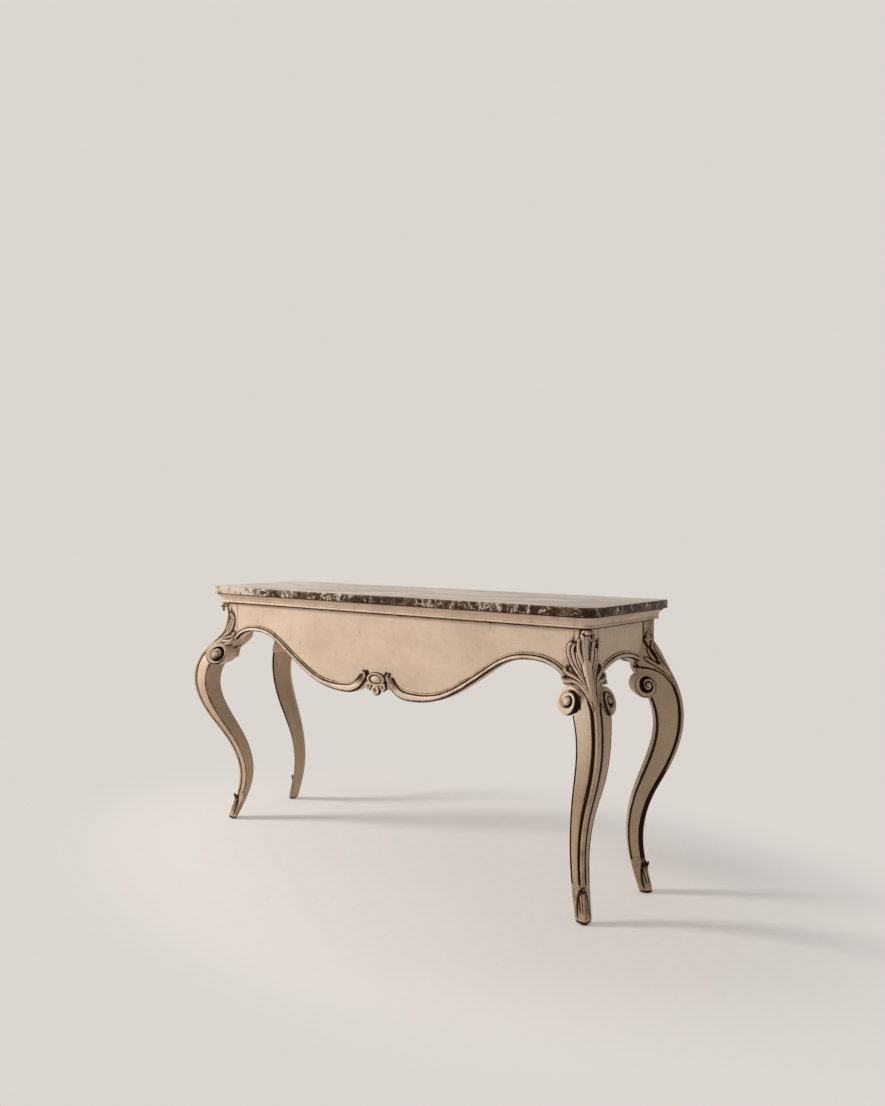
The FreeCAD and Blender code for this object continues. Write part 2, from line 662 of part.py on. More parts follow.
def front_legs():
    corner = Placement(Vector(POST_X, FRONT_Y, 0), Rotation())
    rows = front_stations()
    shaft = moved("FrontShaft", sawn("Front", rows), corner)
    block = box("FrontPost", (S + "post_wide", S + "post_deep_front", S + "post_high"),
                (POST_IN_CELL, FRONT_CELL, "%s - Sizes.post_high" % UNDERSIDE_CELL))
    doc.recompute()
    chamfer = doc.addObject("Part::Chamfer", "FrontPostChamfer")
    chamfer.Base = block
    size_c = size("post_chamfer")
    for n, edge in enumerate(block.Shape.Edges, start=1):
        middle = edge.BoundBox.Center
        if abs(middle.x - POST_X) < 0.1 and abs(middle.y - FRONT_Y) < 0.1:
            chamfer.Edges = [(n, size_c, size_c)]
    blank = join("FrontBlank", [shaft, chamfer, leaf_spine()])
    at_y = "%s + Sizes.apron_setback + (Sizes.apron_thick - Sizes.tenon_thick) / 2" % FRONT_CELL
    at_x = "%s - Sizes.apron_setback - (Sizes.apron_thick + Sizes.tenon_thick) / 2" % POST_X_CELL
    mortises = [tenon("MortiseFront", "Sizes.tenon_long + Sizes.tenon_end_gap", S + "tenon_thick",
                      POST_IN_CELL, at_y),
                tenon("MortiseFrontSide", S + "tenon_thick", "Sizes.tenon_long_side + Sizes.tenon_end_gap", at_x,
                      "%s + Sizes.post_deep_front - Sizes.tenon_long_side - Sizes.tenon_end_gap" % FRONT_CELL)]
    foot = foot_centre(rows[0])
    holes = bolts("FrontHole", FRONT_POST_IN_Y, 1, 1, False)
    holes.append(glide("FrontPinHole", POST_X + foot, FRONT_Y - foot, 1))
    boards = [doc.getObject("ApronFrontHalf"), doc.getObject("ApronSideBoard")]
    leg = cut("LegFrontRight", blank, mortises + holes + boards)
    keep("leg_front_right", leg)
    keep("leg_front_left", mirrored("LegFrontLeft", leg))
    out = arris_at(rows, SCROLL_Z)
    beside = [leg]
    for face, swapped in (("front", False), ("side", True)):
        ear = scroll("ScrollFront" + face.title(), list(beside), out, corner, swapped)
        beside.append(ear)
        keep("scroll_front_right_" + face, ear)
        keep("scroll_front_left_" + face, mirrored("ScrollFrontLeft" + face.title(), ear))


def leaf_spine():
    """The acanthus leaf's middle rib over the post's corner, from the knee up to its curled tip."""
    diagonal = Vector(1, -1, 0).normalize()
    foot = Vector(POST_X, FRONT_Y, 0)

    def at(out, drop):
        return foot + diagonal * (out * math.sqrt(2)) + Vector(0, 0, UNDERSIDE - drop)
    low, neck = size("thigh_drop"), size("neck_drop")
    curl_out, curl_drop, top = size("leaf_curl_out"), size("leaf_curl_drop"), size("leaf_top_drop")
    deep = size("thigh_out") - size("thigh_wide") * 0.9
    front = [at(size("thigh_out") - 6, low), at(size("hip_out") + 3, size("hip_drop")),
             at(size("neck_out") + 3, neck), at(curl_out, curl_drop), at(curl_out - 6, top)]
    edges = [curve(front), line(front[-1], at(deep, top)), line(at(deep, top), at(deep, low)),
             line(at(deep, low), front[0])]
    outline = face_of("LeafOutline", edges)
    half = "Sizes.leaf_wide / 2"
    return extrude("LeafSpine", outline, Vector(1, 1, 0), half, half)


def arris_at(rows, height):
    """How far the outer arris stands out at one height."""
    outer = curve([Vector(out, 0, high) for high, out, wide, flat in rows])
    level = Part.makePlane(1000, 1000, Vector(-500, -500, height))
    return outer.section(level).Vertexes[0].Point.x


def back_legs():
    rows = back_stations()
    pose = Placement(Vector(POST_X, BACK_ARRIS_Y, 0), Rotation(Vector(0, 0, 1), 45))
    shaft = moved("BackShaft", sawn("Back", rows), pose)
    room = box("BackRoom", ("4 * Sizes.knee_out + Sizes.post_wide", "6 * Sizes.knee_out", S + "table_height"),
               ("%s - Sizes.post_wide * 1.5" % POST_X_CELL, "%s - 6 * Sizes.knee_out" % BACK_CELL, "0"))
    flat = overlap("BackShaftFlat", [shaft, room])
    block = box("BackPost", (S + "post_wide", S + "post_deep_back", S + "post_high"),
                (POST_IN_CELL, "%s - Sizes.post_deep_back" % BACK_CELL, "%s - Sizes.post_high" % UNDERSIDE_CELL))
    blank = join("BackBlank", [flat, block])
    at_x = "%s - Sizes.apron_setback - (Sizes.apron_thick + Sizes.tenon_thick) / 2" % POST_X_CELL
    mortises = [tenon("MortiseBack", "Sizes.tenon_long + Sizes.tenon_end_gap", S + "tenon_thick", POST_IN_CELL,
                      "%s - (Sizes.back_apron_thick + Sizes.tenon_thick) / 2" % BACK_CELL),
                tenon("MortiseBackSide", S + "tenon_thick", "Sizes.tenon_long_side + Sizes.tenon_end_gap", at_x,
                      "%s - Sizes.post_deep_back" % BACK_CELL)]
    foot = foot_centre(rows[0]) * math.sqrt(2)
    holes = bolts("BackHole", BACK_POST_IN_Y, -1, 1, False)
    holes.append(glide("BackPinHole", POST_X + foot, BACK_ARRIS_Y, 1))
    leg = cut("LegBackRight", blank, mortises + holes + [doc.getObject("ApronSideBoard")])
    keep("leg_back_right", leg)
    keep("leg_back_left", mirrored("LegBackLeft", leg))
    ear = scroll("ScrollBack", [leg], arris_at(rows, SCROLL_Z), pose)
    keep("scroll_back_right", ear)
    keep("scroll_back_left", mirrored("ScrollBackLeft", ear))


# ---------------------------------------------------------------- what holds the frame together
def braces():
    sets = (("front", FRONT_POST_IN_Y, 1), ("back", BACK_POST_IN_Y, -1))
    all_bolts = []
    for word, corner_y, inward in sets:
        near, far, start, into = bolt_axis(corner_y, inward)
        z = Vector(0, 0, UNDERSIDE - size("brace_drop") - size("brace_high"))
        points = [near, Vector(POST_IN_X, near.y, 0), Vector(POST_IN_X, corner_y, 0),
                  Vector(SIDE_BACK_X, corner_y, 0), far]
        edges = [line(points[i] + z, points[(i + 1) % 5] + z) for i in range(5)]
        block = extrude("Brace" + word, face_of("BraceOutline" + word, edges), Vector(0, 0, 1), S + "brace_high")
        right = cut("CornerBrace" + word, block, bolts("BraceHole" + word, corner_y, inward, 1, False))
        keep("corner_brace_%s_right" % word, right)
        keep("corner_brace_%s_left" % word, mirrored("CornerBraceLeft" + word, right))
        pair = group("BoltPair" + word, bolts("Brace" + word, corner_y, inward, 0, True))
        all_bolts += [pair, mirrored("BoltPairLeft" + word, pair)]
    keep("brace_bolts", group("BraceBolts", all_bolts))


def rail_solids(name):
    """The three rails under the slab, housed in the front and back aprons."""
    items = []
    for n, side in enumerate((-1, 0, 1)):
        front = "%s + Sizes.apron_setback + Sizes.apron_thick - Sizes.rail_housing" % FRONT_CELL
        deep = "%s - Sizes.back_apron_thick + Sizes.rail_housing - (%s)" % (BACK_CELL, front)
        items.append(box("%s%d" % (name, n), (S + "rail_wide", deep, S + "rail_thick"),
                         ("%d * Sizes.rail_pitch - Sizes.rail_wide / 2" % side, front,
                          "%s - Sizes.pad_thick - Sizes.rail_thick" % UNDERSIDE_CELL)))
    return items


def rails_and_pads():
    words = ("left", "middle", "right")
    for word, rail in zip(words, rail_solids("CrossRail")):
        keep("cross_rail_" + word, rail)
    pads = []
    for side in (-1, 0, 1):
        for end in (-1, 1):
            spot = Vector(side * size("rail_pitch"), SLAB_Y + end * size("pad_pitch") / 2,
                          UNDERSIDE - size("pad_thick"))
            pads.append(rod("Pad%d" % len(pads), S + "pad_radius", S + "pad_thick", spot, Vector(0, 0, 1)))
    keep("slab_pads", group("SlabPads", pads))


def glides():
    front = foot_centre(front_stations()[0])
    back = foot_centre(back_stations()[0]) * math.sqrt(2)
    right = [glide("GlideFront", POST_X + front, FRONT_Y - front, 0),
             glide("GlideBack", POST_X + back, BACK_ARRIS_Y, 0)]
    left = [mirrored(g.Name + "Left", g) for g in right]
    keep("foot_glides", group("FootGlides", right + left))


def write_parts():
    """Checks every object and every sub-part, then writes one file for each."""
    doc.recompute()
    bad = [o.Label for o in doc.Objects if "Invalid" in o.State or "Error" in o.State]
    for name, item in nodes.items():
        shape = item.Shape
        if shape.isNull() or not shape.isValid() or not shape.Solids:
            bad.append(name)
    if bad:
        raise RuntimeError("not sound: %s" % bad)
    os.makedirs("parts", exist_ok=True)
    whole = FreeCAD.BoundBox()
    for name, item in sorted(nodes.items()):
        item.Shape.exportStep("parts/%s.step" % name)
        whole.add(item.Shape.BoundBox)
        print("%-28s %2d solids %10.0f mm3" % (name, len(item.Shape.Solids), item.Shape.Volume))
    print("box", whole)


slab()
cornice()
front_apron()
back_apron()
side_aprons()
front_legs()
back_legs()
beads()
ornament()
braces()
rails_and_pads()
glides()
write_parts()
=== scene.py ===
"""Pier table: a marble slab on a carved and painted frame with four cabriole legs.

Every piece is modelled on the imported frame, in its own place. Lengths inside the modelling functions are in
millimetres, as in the maker's drawing, and they become metres when they reach a mesh.
"""
import math

import bpy
import numpy as np
from bpy.props import FloatProperty, FloatVectorProperty, PointerProperty
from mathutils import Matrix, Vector


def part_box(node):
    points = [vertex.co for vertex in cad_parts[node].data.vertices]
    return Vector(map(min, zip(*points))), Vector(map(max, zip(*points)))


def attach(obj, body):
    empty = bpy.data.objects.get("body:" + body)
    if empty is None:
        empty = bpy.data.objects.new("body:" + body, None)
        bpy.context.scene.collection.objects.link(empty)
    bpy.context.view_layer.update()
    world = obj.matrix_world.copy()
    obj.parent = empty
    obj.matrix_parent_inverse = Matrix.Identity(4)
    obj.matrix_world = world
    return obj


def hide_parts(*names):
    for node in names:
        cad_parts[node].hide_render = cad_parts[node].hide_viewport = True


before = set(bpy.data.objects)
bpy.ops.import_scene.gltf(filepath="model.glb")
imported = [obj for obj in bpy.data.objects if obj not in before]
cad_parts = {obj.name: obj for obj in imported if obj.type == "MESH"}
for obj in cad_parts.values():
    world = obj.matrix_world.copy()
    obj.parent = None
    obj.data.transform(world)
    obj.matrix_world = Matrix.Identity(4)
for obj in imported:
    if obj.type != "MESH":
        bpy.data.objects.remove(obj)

bl_info = {
    "name": "Pier table",
    "version": (1, 0, 0),
    "blender": (4, 5, 0),
    "location": "3D View > Sidebar > Table",
    "description": "Models a marble-topped pier table, piece by piece, on its packed frame",
    "category": "Add Mesh",
}

MM = 0.001
ROOT2 = math.sqrt(2)
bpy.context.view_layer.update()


def span(node):
    """Lowest and highest corner of a CAD node, in mm."""
    low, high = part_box(node)
    return np.array(low) / MM, np.array(high) / MM


# places read from the frame, in mm
SLAB_LOW, SLAB_HIGH = span("marble_top")
UNDERSIDE = SLAB_LOW[2]
POST_X = span("apron_right")[1][0] + 1.0
APRON_FACE_Y = span("apron_front")[0][1]
FRONT_Y = APRON_FACE_Y - 1.0
BACK_Y = span("leg_back_right")[1][1]
POST_IN_X = POST_X - 80.0
FRONT_POST_IN_Y = FRONT_Y + 64.0
BACK_POST_IN_Y = BACK_Y - 74.0
BACK_ARRIS_Y = BACK_Y - 48.0
SCROLL_Z = UNDERSIDE - 226.0
ORNAMENT_Z = UNDERSIDE - 250.0
FOOT_Z = span("leg_front_right")[0][2]
SEAM_Y = BACK_POST_IN_Y + 6.0                       # where a side apron meets its back post
TOE_HALF, TOE_FOOT, TOE_TALL = 23.0, 22.0, 59.0     # the arch round the leaf on a toe
HOOK_ACROSS, HOOK_Z = 11.0, 797                     # the hook at the tip of a front leaf

# the camera and the lamp, in metres, degrees and watts
CAMERA_PLACE, CAMERA_DIP, CAMERA_HEADING = (2.0870, -2.3715, 1.0837), 1.31, 39.15
CAMERA_LENS, CAMERA_SENSOR, CAMERA_SHIFT = 30.564, 36.0, -0.0019
KEY_PLACE, KEY_AIM = Vector((-4.35, -2.95, 3.00)), Vector((0.0, 0.0, 0.5))
KEY_SIZE, KEY_POWER, WORLD_STRENGTH, FLOOR_RADIUS = 1.2, 245.0, 0.40, 14.0

# the inside pieces that are shown as they are packed, by their wood
PLANED = ("apron_back", "cross_rail_left", "cross_rail_middle", "cross_rail_right", "corner_brace_front_left",
          "corner_brace_front_right", "corner_brace_back_left", "corner_brace_back_right")

# leg stations from the foot up: height, how far the outer arris stands out, side of the square, flat inside
SHARED_STATIONS = [(FOOT_Z, -6, 38, 22), (165, -38, 43, 12), (300.05, -6, 54, 6), (398.6, 44, 66, 6),
                   (530, 80, 73, 6), (640, 51, 90, 6)]
FRONT_STATIONS = SHARED_STATIONS + [(690, 12, 90, 6), (743, -13, 60, 6)]
BACK_STATIONS = [(z, (out * 1.09 + 34) / ROOT2, wide, flat) for z, out, wide, flat in SHARED_STATIONS[:-1]]
BACK_STATIONS += [(640, 100 / ROOT2, 92, 6), (690, 71 / ROOT2, 92, 6), (743, 38 / ROOT2, 60, 6),
                  (790, -5 / ROOT2, 60, 6)]


# ---------------------------------------------------------------- sizes and colours a user may change
class TableSizes(bpy.types.PropertyGroup):
    """Sizes of the carving and of the finish"""
    band: FloatProperty(name="Arris band", description="Half the width of the flat band on a leg's arris",
                        default=0.0105, min=0.004, max=0.02, unit="LENGTH")
    groove_deep: FloatProperty(name="Groove depth", description="Depth of the grooves beside the arris band",
                               default=0.0044, min=0.0, max=0.008, unit="LENGTH")
    groove_wide: FloatProperty(name="Groove width", description="Width of the grooves beside the arris band",
                               default=0.0070, min=0.002, max=0.012, unit="LENGTH")
    quirk_deep: FloatProperty(name="Quirk depth", description="Depth of the fine line along a face's inner edge",
                              default=0.0024, min=0.0, max=0.004, unit="LENGTH")
    scroll_radius: FloatProperty(name="Scroll radius", description="Outer radius of the scrolls beside the knees",
                                 default=0.040, min=0.03, max=0.05, unit="LENGTH")
    eye_radius: FloatProperty(name="Eye radius", description="Radius of the ball in the middle of a scroll",
                              default=0.0105, min=0.005, max=0.015, unit="LENGTH")
    bead_proud: FloatProperty(name="Bead height", description="How far the bead stands off the apron",
                              default=0.009, min=0.003, max=0.012, unit="LENGTH")
    carving_grain: FloatProperty(name="Carving grain", description="Smallest detail kept in the carved pieces",
                                 default=0.0014, min=0.001, max=0.004, unit="LENGTH")


class TableColours(bpy.types.PropertyGroup):
    """Colours of the finishes"""
    paint: FloatVectorProperty(name="Paint", description="Antique cream of the frame", subtype="COLOR", size=3,
                               default=(0.73, 0.555, 0.405), min=0, max=1)
    paint_worn: FloatVectorProperty(name="Worn paint", description="Cream where it has darkened", subtype="COLOR",
                                    size=3, default=(0.63, 0.47, 0.335), min=0, max=1)
    # this glaze colour also paints the painted shade that the pieces lay on
    glaze: FloatVectorProperty(name="Glaze", description="Dark glaze left in the recesses", subtype="COLOR",
                               size=3, default=(0.026, 0.007, 0.004), min=0, max=1)
    marble_dark: FloatVectorProperty(name="Marble ground", description="Brown ground of the slab",
                                     subtype="COLOR", size=3, default=(0.036, 0.018, 0.010), min=0, max=1)
    marble_pale: FloatVectorProperty(name="Marble veins", description="Cream of the slab's veins and clouds",
                                     subtype="COLOR", size=3, default=(0.66, 0.55, 0.42), min=0, max=1)
    bare_wood: FloatVectorProperty(name="Bare wood", description="Unpainted wood inside the frame",
                                   subtype="COLOR", size=3, default=(0.42, 0.25, 0.13), min=0, max=1)
    backdrop: FloatVectorProperty(name="Backdrop", description="Floor and backdrop", subtype="COLOR", size=3,
                                  default=(0.7157, 0.6724, 0.6376), min=0, max=1)


# ---------------------------------------------------------------- small tools
def clear_selection():
    if bpy.context.mode != "OBJECT":
        bpy.ops.object.mode_set(mode="OBJECT")
    bpy.ops.object.select_all(action="DESELECT")


def pick(*items):
    """Selects these objects only, the first one active."""
    clear_selection()
    for item in items:
        item.select_set(True)
    bpy.context.view_layer.objects.active = items[0]
    return items[0]


def edit(item):
    """Enters edit mode with everything selected."""
    pick(item)
    bpy.ops.object.mode_set(mode="EDIT")
    bpy.ops.mesh.select_all(action="SELECT")


def leave_edit():
    bpy.ops.object.mode_set(mode="OBJECT")


def bevelled(item, test, size, **settings):
    """Bevels the edges whose two ends, given in mm, pass the test."""
    pick(item)
    bpy.ops.object.mode_set(mode="EDIT")
    bpy.ops.mesh.select_mode(type="EDGE")
    bpy.ops.mesh.select_all(action="DESELECT")
    leave_edit()
    mesh = item.data
    points = [np.array(v.co) / MM for v in mesh.vertices]
    for part in mesh.edges:
        part.select = bool(test(np.array([points[i] for i in part.vertices])))
    bpy.ops.object.mode_set(mode="EDIT")
    bpy.ops.mesh.bevel(offset=size * MM, affect="EDGES", **settings)
    leave_edit()


def sound(item):
    """Merges doubles, closes open ends and turns the faces outwards."""
    edit(item)
    bpy.ops.mesh.remove_doubles(threshold=1e-5)
    bpy.ops.mesh.select_all(action="SELECT")
    bpy.ops.mesh.fill_holes(sides=0)
    bpy.ops.mesh.select_all(action="SELECT")
    bpy.ops.mesh.normals_make_consistent(inside=False)
    leave_edit()
    return item


def put(item, points):
    """Moves a mesh's vertices to these points, in metres."""
    item.data.vertices.foreach_set("co", points.reshape(-1).astype(np.float32))


def block(low, high):
    """A box between two corners in mm."""
    clear_selection()
    bpy.ops.mesh.primitive_cube_add(size=1, location=(low + high) / 2 * MM)
    item = bpy.context.active_object
    item.scale = (high - low) * MM
    pick(item)
    bpy.ops.object.transform_apply(location=True, rotation=True, scale=True)
    return item


def laid(rows):
    """A grid primitive laid over rows of points in mm; where the ends of the rows meet, they are merged."""
    clear_selection()
    up, across = rows.shape[:2]
    bpy.ops.mesh.primitive_grid_add(x_subdivisions=across - 1, y_subdivisions=up - 1, size=1)
    item = bpy.context.active_object
    put(item, rows * MM)
    item.data.update()
    return item


def closed(rows):
    """The rows with their first point repeated at the end."""
    return np.concatenate([rows, rows[:, :1]], axis=1)


def joined(items):
    pick(*items)
    if len(items) > 1:
        bpy.ops.object.join()
    return bpy.context.active_object


def applied(item, kind, **settings):
    """Adds a modifier, sets it and applies it."""
    modifier = item.modifiers.new(kind.title(), kind)
    for name, value in settings.items():
        setattr(modifier, name, value)
    pick(item)
    bpy.ops.object.modifier_apply(modifier=modifier.name)
    return item


def fused(item, grain, smooth=2, limit=190000):
    """Fuses overlapping shells into one carved surface and softens the marks of the fusing."""
    applied(item, "REMESH", mode="VOXEL", voxel_size=grain, adaptivity=0.0)
    if smooth:
        applied(item, "SMOOTH", factor=0.5, iterations=smooth)
    triangles = 2 * len(item.data.polygons)
    if triangles > limit:
        applied(item, "DECIMATE", ratio=limit / triangles)
    return item


def coordinates(mesh):
    points = np.empty(len(mesh.vertices) * 3, np.float32)
    mesh.vertices.foreach_get("co", points)
    return points.reshape(-1, 3).astype(np.float64)


def normals_of(mesh):
    normals = np.empty(len(mesh.vertices) * 3, np.float32)
    mesh.vertex_normals.foreach_get("vector", normals)
    return normals.reshape(-1, 3)


def trimmed(item, axis, limit, keep=np.minimum):
    """Presses the points past a limit, given in mm, back to it."""
    points = coordinates(item.data)
    points[:, axis] = keep(points[:, axis], limit * MM)
    put(item, points)


def read_value(mesh, name):
    values = np.empty(len(mesh.vertices), np.float32)
    mesh.attributes[name].data.foreach_get("value", values)
    return values


def write_value(mesh, name, values):
    layer = mesh.attributes.get(name) or mesh.attributes.new(name, "FLOAT", "POINT")
    layer.data.foreach_set("value", np.asarray(values, np.float32))


def mark_recesses(item, fine=8, broad=40, fine_depth=0.30, broad_depth=1.0):
    """Writes, for each point, how far it lies below its surroundings and how far it stands above them. Glaze and
    painted shade that are laid on as "line" count as a recess, and are then forgotten."""
    mesh = item.data
    points = coordinates(mesh) / MM
    ends = np.empty(len(mesh.edges) * 2, np.int32)
    mesh.edges.foreach_get("vertices", ends)
    a, b = ends.reshape(-1, 2).T
    count = len(points)
    near = np.bincount(a, minlength=count) + np.bincount(b, minlength=count)
    near = np.maximum(near, 1)[:, None]
    normals = normals_of(mesh)
    spread = points.copy()
    found = {}
    for step in range(1, broad + 1):
        total = np.stack([np.bincount(a, spread[b, k], count) + np.bincount(b, spread[a, k], count)
                          for k in range(3)], axis=1)
        spread = 0.5 * spread + 0.5 * total / near
        if step in (fine, broad):
            found[step] = ((spread - points) * normals).sum(axis=1)
    recess = np.clip(np.maximum(found[fine] / fine_depth, found[broad] / broad_depth), 0, 1.6)
    if "line" in mesh.attributes:
        recess = np.maximum(recess, read_value(mesh, "line"))
        mesh.attributes.remove(mesh.attributes["line"])
    write_value(mesh, "recess", recess)
    write_value(mesh, "edge", np.clip(-found[fine] / fine_depth, 0, 1.6))
    return item


def fading(distance, wide):
    """1 from the line's own edge, fading out at its width."""
    return ease(distance, -1.5, 0.5) * (1 - ease(distance, 0.65 * wide, wide))


def toe_reach(along, z):
    """How far out in a toe's leaf a point lies: 1 on the arch round it."""
    return np.hypot(along / TOE_HALF, np.maximum(z - TOE_FOOT, 0) / TOE_TALL)


def glaze_leg(item, shape, band_at, glaze, shaded_all_over=False, scroll=None):
    """Lays the dark glaze along the arris band, the inner edges, the toe leaf and the sole, and painted shade on
    the
    faces turned from the light: on every face of a leg shaded all over, and on a front leg, below its post, on
    all but the upper front faces. The glaze gives the width of the front and of the side groove, and the strength
    on the low part of the band, in the grooves and along the inner edges; a scroll has its place and radius, and
    brings painted shade beside the scroll and under the leaf's hook."""
    front_wide, side_wide, on_band, in_groove, on_edge = glaze
    mesh = item.data
    points = coordinates(mesh) / MM
    c, s = math.cos(shape.turn), math.sin(shape.turn)
    off = points[:, :2] - shape.corner
    z = points[:, 2]
    out, w = shape.out(z), shape.wide(z)
    p, q = out - (c * off[:, 0] + s * off[:, 1]), (c * off[:, 1] - s * off[:, 0]) + out
    along, deep, front = np.maximum(p, q), np.minimum(p, q), q < p
    across, forward = (off[:, 0] + off[:, 1]) / ROOT2, (off[:, 0] - off[:, 1]) / 2
    band = band_at(z) + np.where(front, 0.0, shape.side_band)
    thin = np.clip(w / 62, 0.55, 1.0)
    line = np.where(front, fading(along - band, front_wide * thin), fading(along - band, side_wide * thin))
    line *= in_groove
    far_edge = np.where(front, w * shape.front, w) - 4.0
    line = np.maximum(line, on_edge * hump(along, far_edge, 4.0 * thin) ** 0.6 * (deep < 9))
    line = np.maximum(line, on_band * (along < band) * (1 - ease(z, 330, 430)))
    line *= (deep < 14) * ease(z, 91, 107) * (1 - ease(z, 612, 650))
    # painted shade, when a scroll is given (the right front leg): a dark crescent beside the scroll and a dark
    # hollow under the leaf's hook, on the side away from the light
    if scroll:
        x, y = along - scroll[0], z - SCROLL_Z
        far = np.hypot(x, y)
        below = ease(-x / np.maximum(far, 1), -0.25, 0.35) * ease(y, -26, -8)
        line = np.maximum(line, 1.1 * hump(far, scroll[1] - 0.5, 3.4) * below * front * (deep < 14))
        hollow = np.hypot((across - HOOK_ACROSS) / 6.4, (z - HOOK_Z) / 7.8)
        line = np.maximum(line, 1.3 * hump(hollow, 0.0, 1.0) ** 0.6 * (forward > -14))
    if shaded_all_over:
        ribbon = spline([(46, 674), (58, 680), (78, 684), (100, 686.5), (124, 688)], 60)
        reach = np.interp(along, ribbon[:, 0], ribbon[:, 1])
        there = (along > 46) * (along < 124) * (deep < 20) * front
        line = np.maximum(line, 1.1 * hump(z, reach, 3.4) ** 0.7 * there)
    toe = toe_reach(along, z)
    channels = 0.8 * hump(along, 6.0, 2.2) + 0.95 * hump(along, 14.5, 2.8)
    leaf = 0.75 * hump(toe, 1.10, 0.15) ** 0.7 + (toe < 0.98) * channels * ease(z, 20, 38)
    line = np.maximum(line, (deep < 14) * (z < 108) * np.maximum(leaf, 0.16) * ease(z, 10, 20))
    line = np.maximum(line, 0.95 * (1 - ease(z, 5.5, 13.0)))
    normals = normals_of(mesh)
    # painted shade under a front leaf's tip: its downward faces are darkened
    tip = 0.5 * (z > 780) * (z < 812) * (forward > -5) * (not shaded_all_over)
    line = np.maximum(line, 1.1 * tip * ease(-normals[:, 2], -0.1, 0.25))
    write_value(mesh, "line", line)
    mark_recesses(item)
    # painted shade: faces that turn from the light are darkened, while the front faces of a front leg's upper
    # shaft stay light
    lit_faces = ease(-normals[:, 1], 0.35, 0.75) * (along > band) * ease(z, 300, 680)
    write_value(mesh, "painted_shade", np.ones(len(z)) if shaded_all_over else (1 - lit_faces) * (1 - ease(z, 640, 740)))
    return item


def smooth_shade(item, angle=None):
    pick(item)
    if angle is None:
        bpy.ops.object.shade_smooth()
    else:
        bpy.ops.object.shade_smooth_by_angle(angle=math.radians(angle))
    return item


def finished(item, name, slot, material, *nodes):
    """Names a piece, gives it its finish, lets it ride on the root body and hides the CAD nodes that it stands in
    for.
    """
    item.name = name
    item.data.name = name
    item.data.materials.clear()
    item.data.materials.append(bpy.data.materials[material])
    item.data.polygons.foreach_set("material_index", [0] * len(item.data.polygons))
    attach(item, "root")
    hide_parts(*nodes)
    clear_selection()
    return item


def painted(item, name, node):
    """Finishes a piece of the painted frame."""
    return finished(item, name, "painted_wood", "cream_paint", node)


def own_copy(source):
    """A copy with its own mesh and without the frame's marks."""
    item = source.copy()
    item.data = source.data.copy()
    item.parent = None
    for key in [k for k in item.keys() if k.startswith("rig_")]:
        del item[key]
    bpy.context.scene.collection.objects.link(item)
    return item


def mirror_copy(item):
    """A left-hand copy of a right-hand piece, with its own mesh."""
    twin = own_copy(item)
    points = coordinates(twin.data)
    points[:, 0] *= -1
    put(twin, points)
    edit(twin)
    bpy.ops.mesh.normals_make_consistent(inside=False)
    leave_edit()
    return twin


def painted_pair(item, name, node):
    """Finishes a right-hand piece and its left-hand copy; # in their names stands for the side."""
    for made, side in ((item, "right"), (mirror_copy(item), "left")):
        painted(made, name.replace("#", side), node.replace("#", side))


def spline(knots, count=200):
    """A smooth line through the knots, with as many evenly spread points as asked."""
    knots = np.array(knots, float)
    t = np.concatenate([[0], np.cumsum(np.linalg.norm(np.diff(knots, axis=0), axis=1))])
    n = len(t)
    h = np.diff(t)
    system, known = np.zeros((n, n)), np.zeros((n, knots.shape[1]))
    system[0, 0] = system[-1, -1] = 1
    for i in range(1, n - 1):
        system[i, i - 1], system[i, i], system[i, i + 1] = h[i - 1], 2 * (h[i - 1] + h[i]), h[i]
        known[i] = 6 * ((knots[i + 1] - knots[i]) / h[i] - (knots[i] - knots[i - 1]) / h[i - 1])
    bend = np.linalg.solve(system, known)
    at = np.linspace(0, t[-1], count)
    i = np.clip(np.searchsorted(t, at, side="right") - 1, 0, n - 2)
    u, hi = (at - t[i])[:, None], h[i][:, None]
    slope = (knots[i + 1] - knots[i]) / hi - hi * (2 * bend[i] + bend[i + 1]) / 6
    return knots[i] + slope * u + bend[i] * u ** 2 / 2 + (bend[i + 1] - bend[i]) * u ** 3 / (6 * hi)


def hump(x, middle, half):
    """1 in the middle, 0 from half away."""
    return np.clip(1 - ((x - middle) / half) ** 2, 0, 1)


def ease(x, low, high):
    """0 below low, 1 above high, smooth between."""
    t = np.clip((x - low) / (high - low), 0, 1)
    return t * t * (3 - 2 * t)


def stem(path, radii, around=12):
    """A round stem along a path in mm that swells and tapers with its radii, closed at both ends."""
    path, radii = np.asarray(path, float), np.asarray(radii, float)
    along = np.gradient(path, axis=0)
    along /= np.linalg.norm(along, axis=1)[:, None]
    side = np.cross(along[0], [0.3, 0.5, 0.8])
    rows = []
    turn = np.linspace(0, 2 * math.pi, around, endpoint=False)
    for point, way, radius in zip(path, along, radii):
        side = side - way * side.dot(way)
        side /= np.linalg.norm(side)
        other = np.cross(way, side)
        rows.append(point + radius * (np.cos(turn)[:, None] * side + np.sin(turn)[:, None] * other))
    first, last = path[0] - along[0] * radii[0] * 0.6, path[-1] + along[-1] * radii[-1] * 0.6
    rows = [np.repeat(first[None], around, 0)] + rows + [np.repeat(last[None], around, 0)]
    return sound(laid(closed(np.array(rows))))


# ---------------------------------------------------------------- finishes
class Nodes:
    """Short ways to add to a node tree."""

    def __init__(self, tree):
        self.tree = tree

    def node(self, kind, inputs=None, **settings):
        item = self.tree.nodes.new(kind)
        for name, value in settings.items():
            setattr(item, name, value)
        for name, value in (inputs or {}).items():
            if isinstance(value, bpy.types.NodeSocket):
                self.tree.links.new(value, item.inputs[name])
            else:
                item.inputs[name].default_value = value
        return item

    def sum(self, kind, a, b):
        return self.node("ShaderNodeMath", {0: a, 1: b}, operation=kind).outputs[0]

    def end(self, value, node):
        """Links a shader to the tree's last node."""
        self.tree.links.new(value, self.tree.nodes[node].inputs["Surface"])


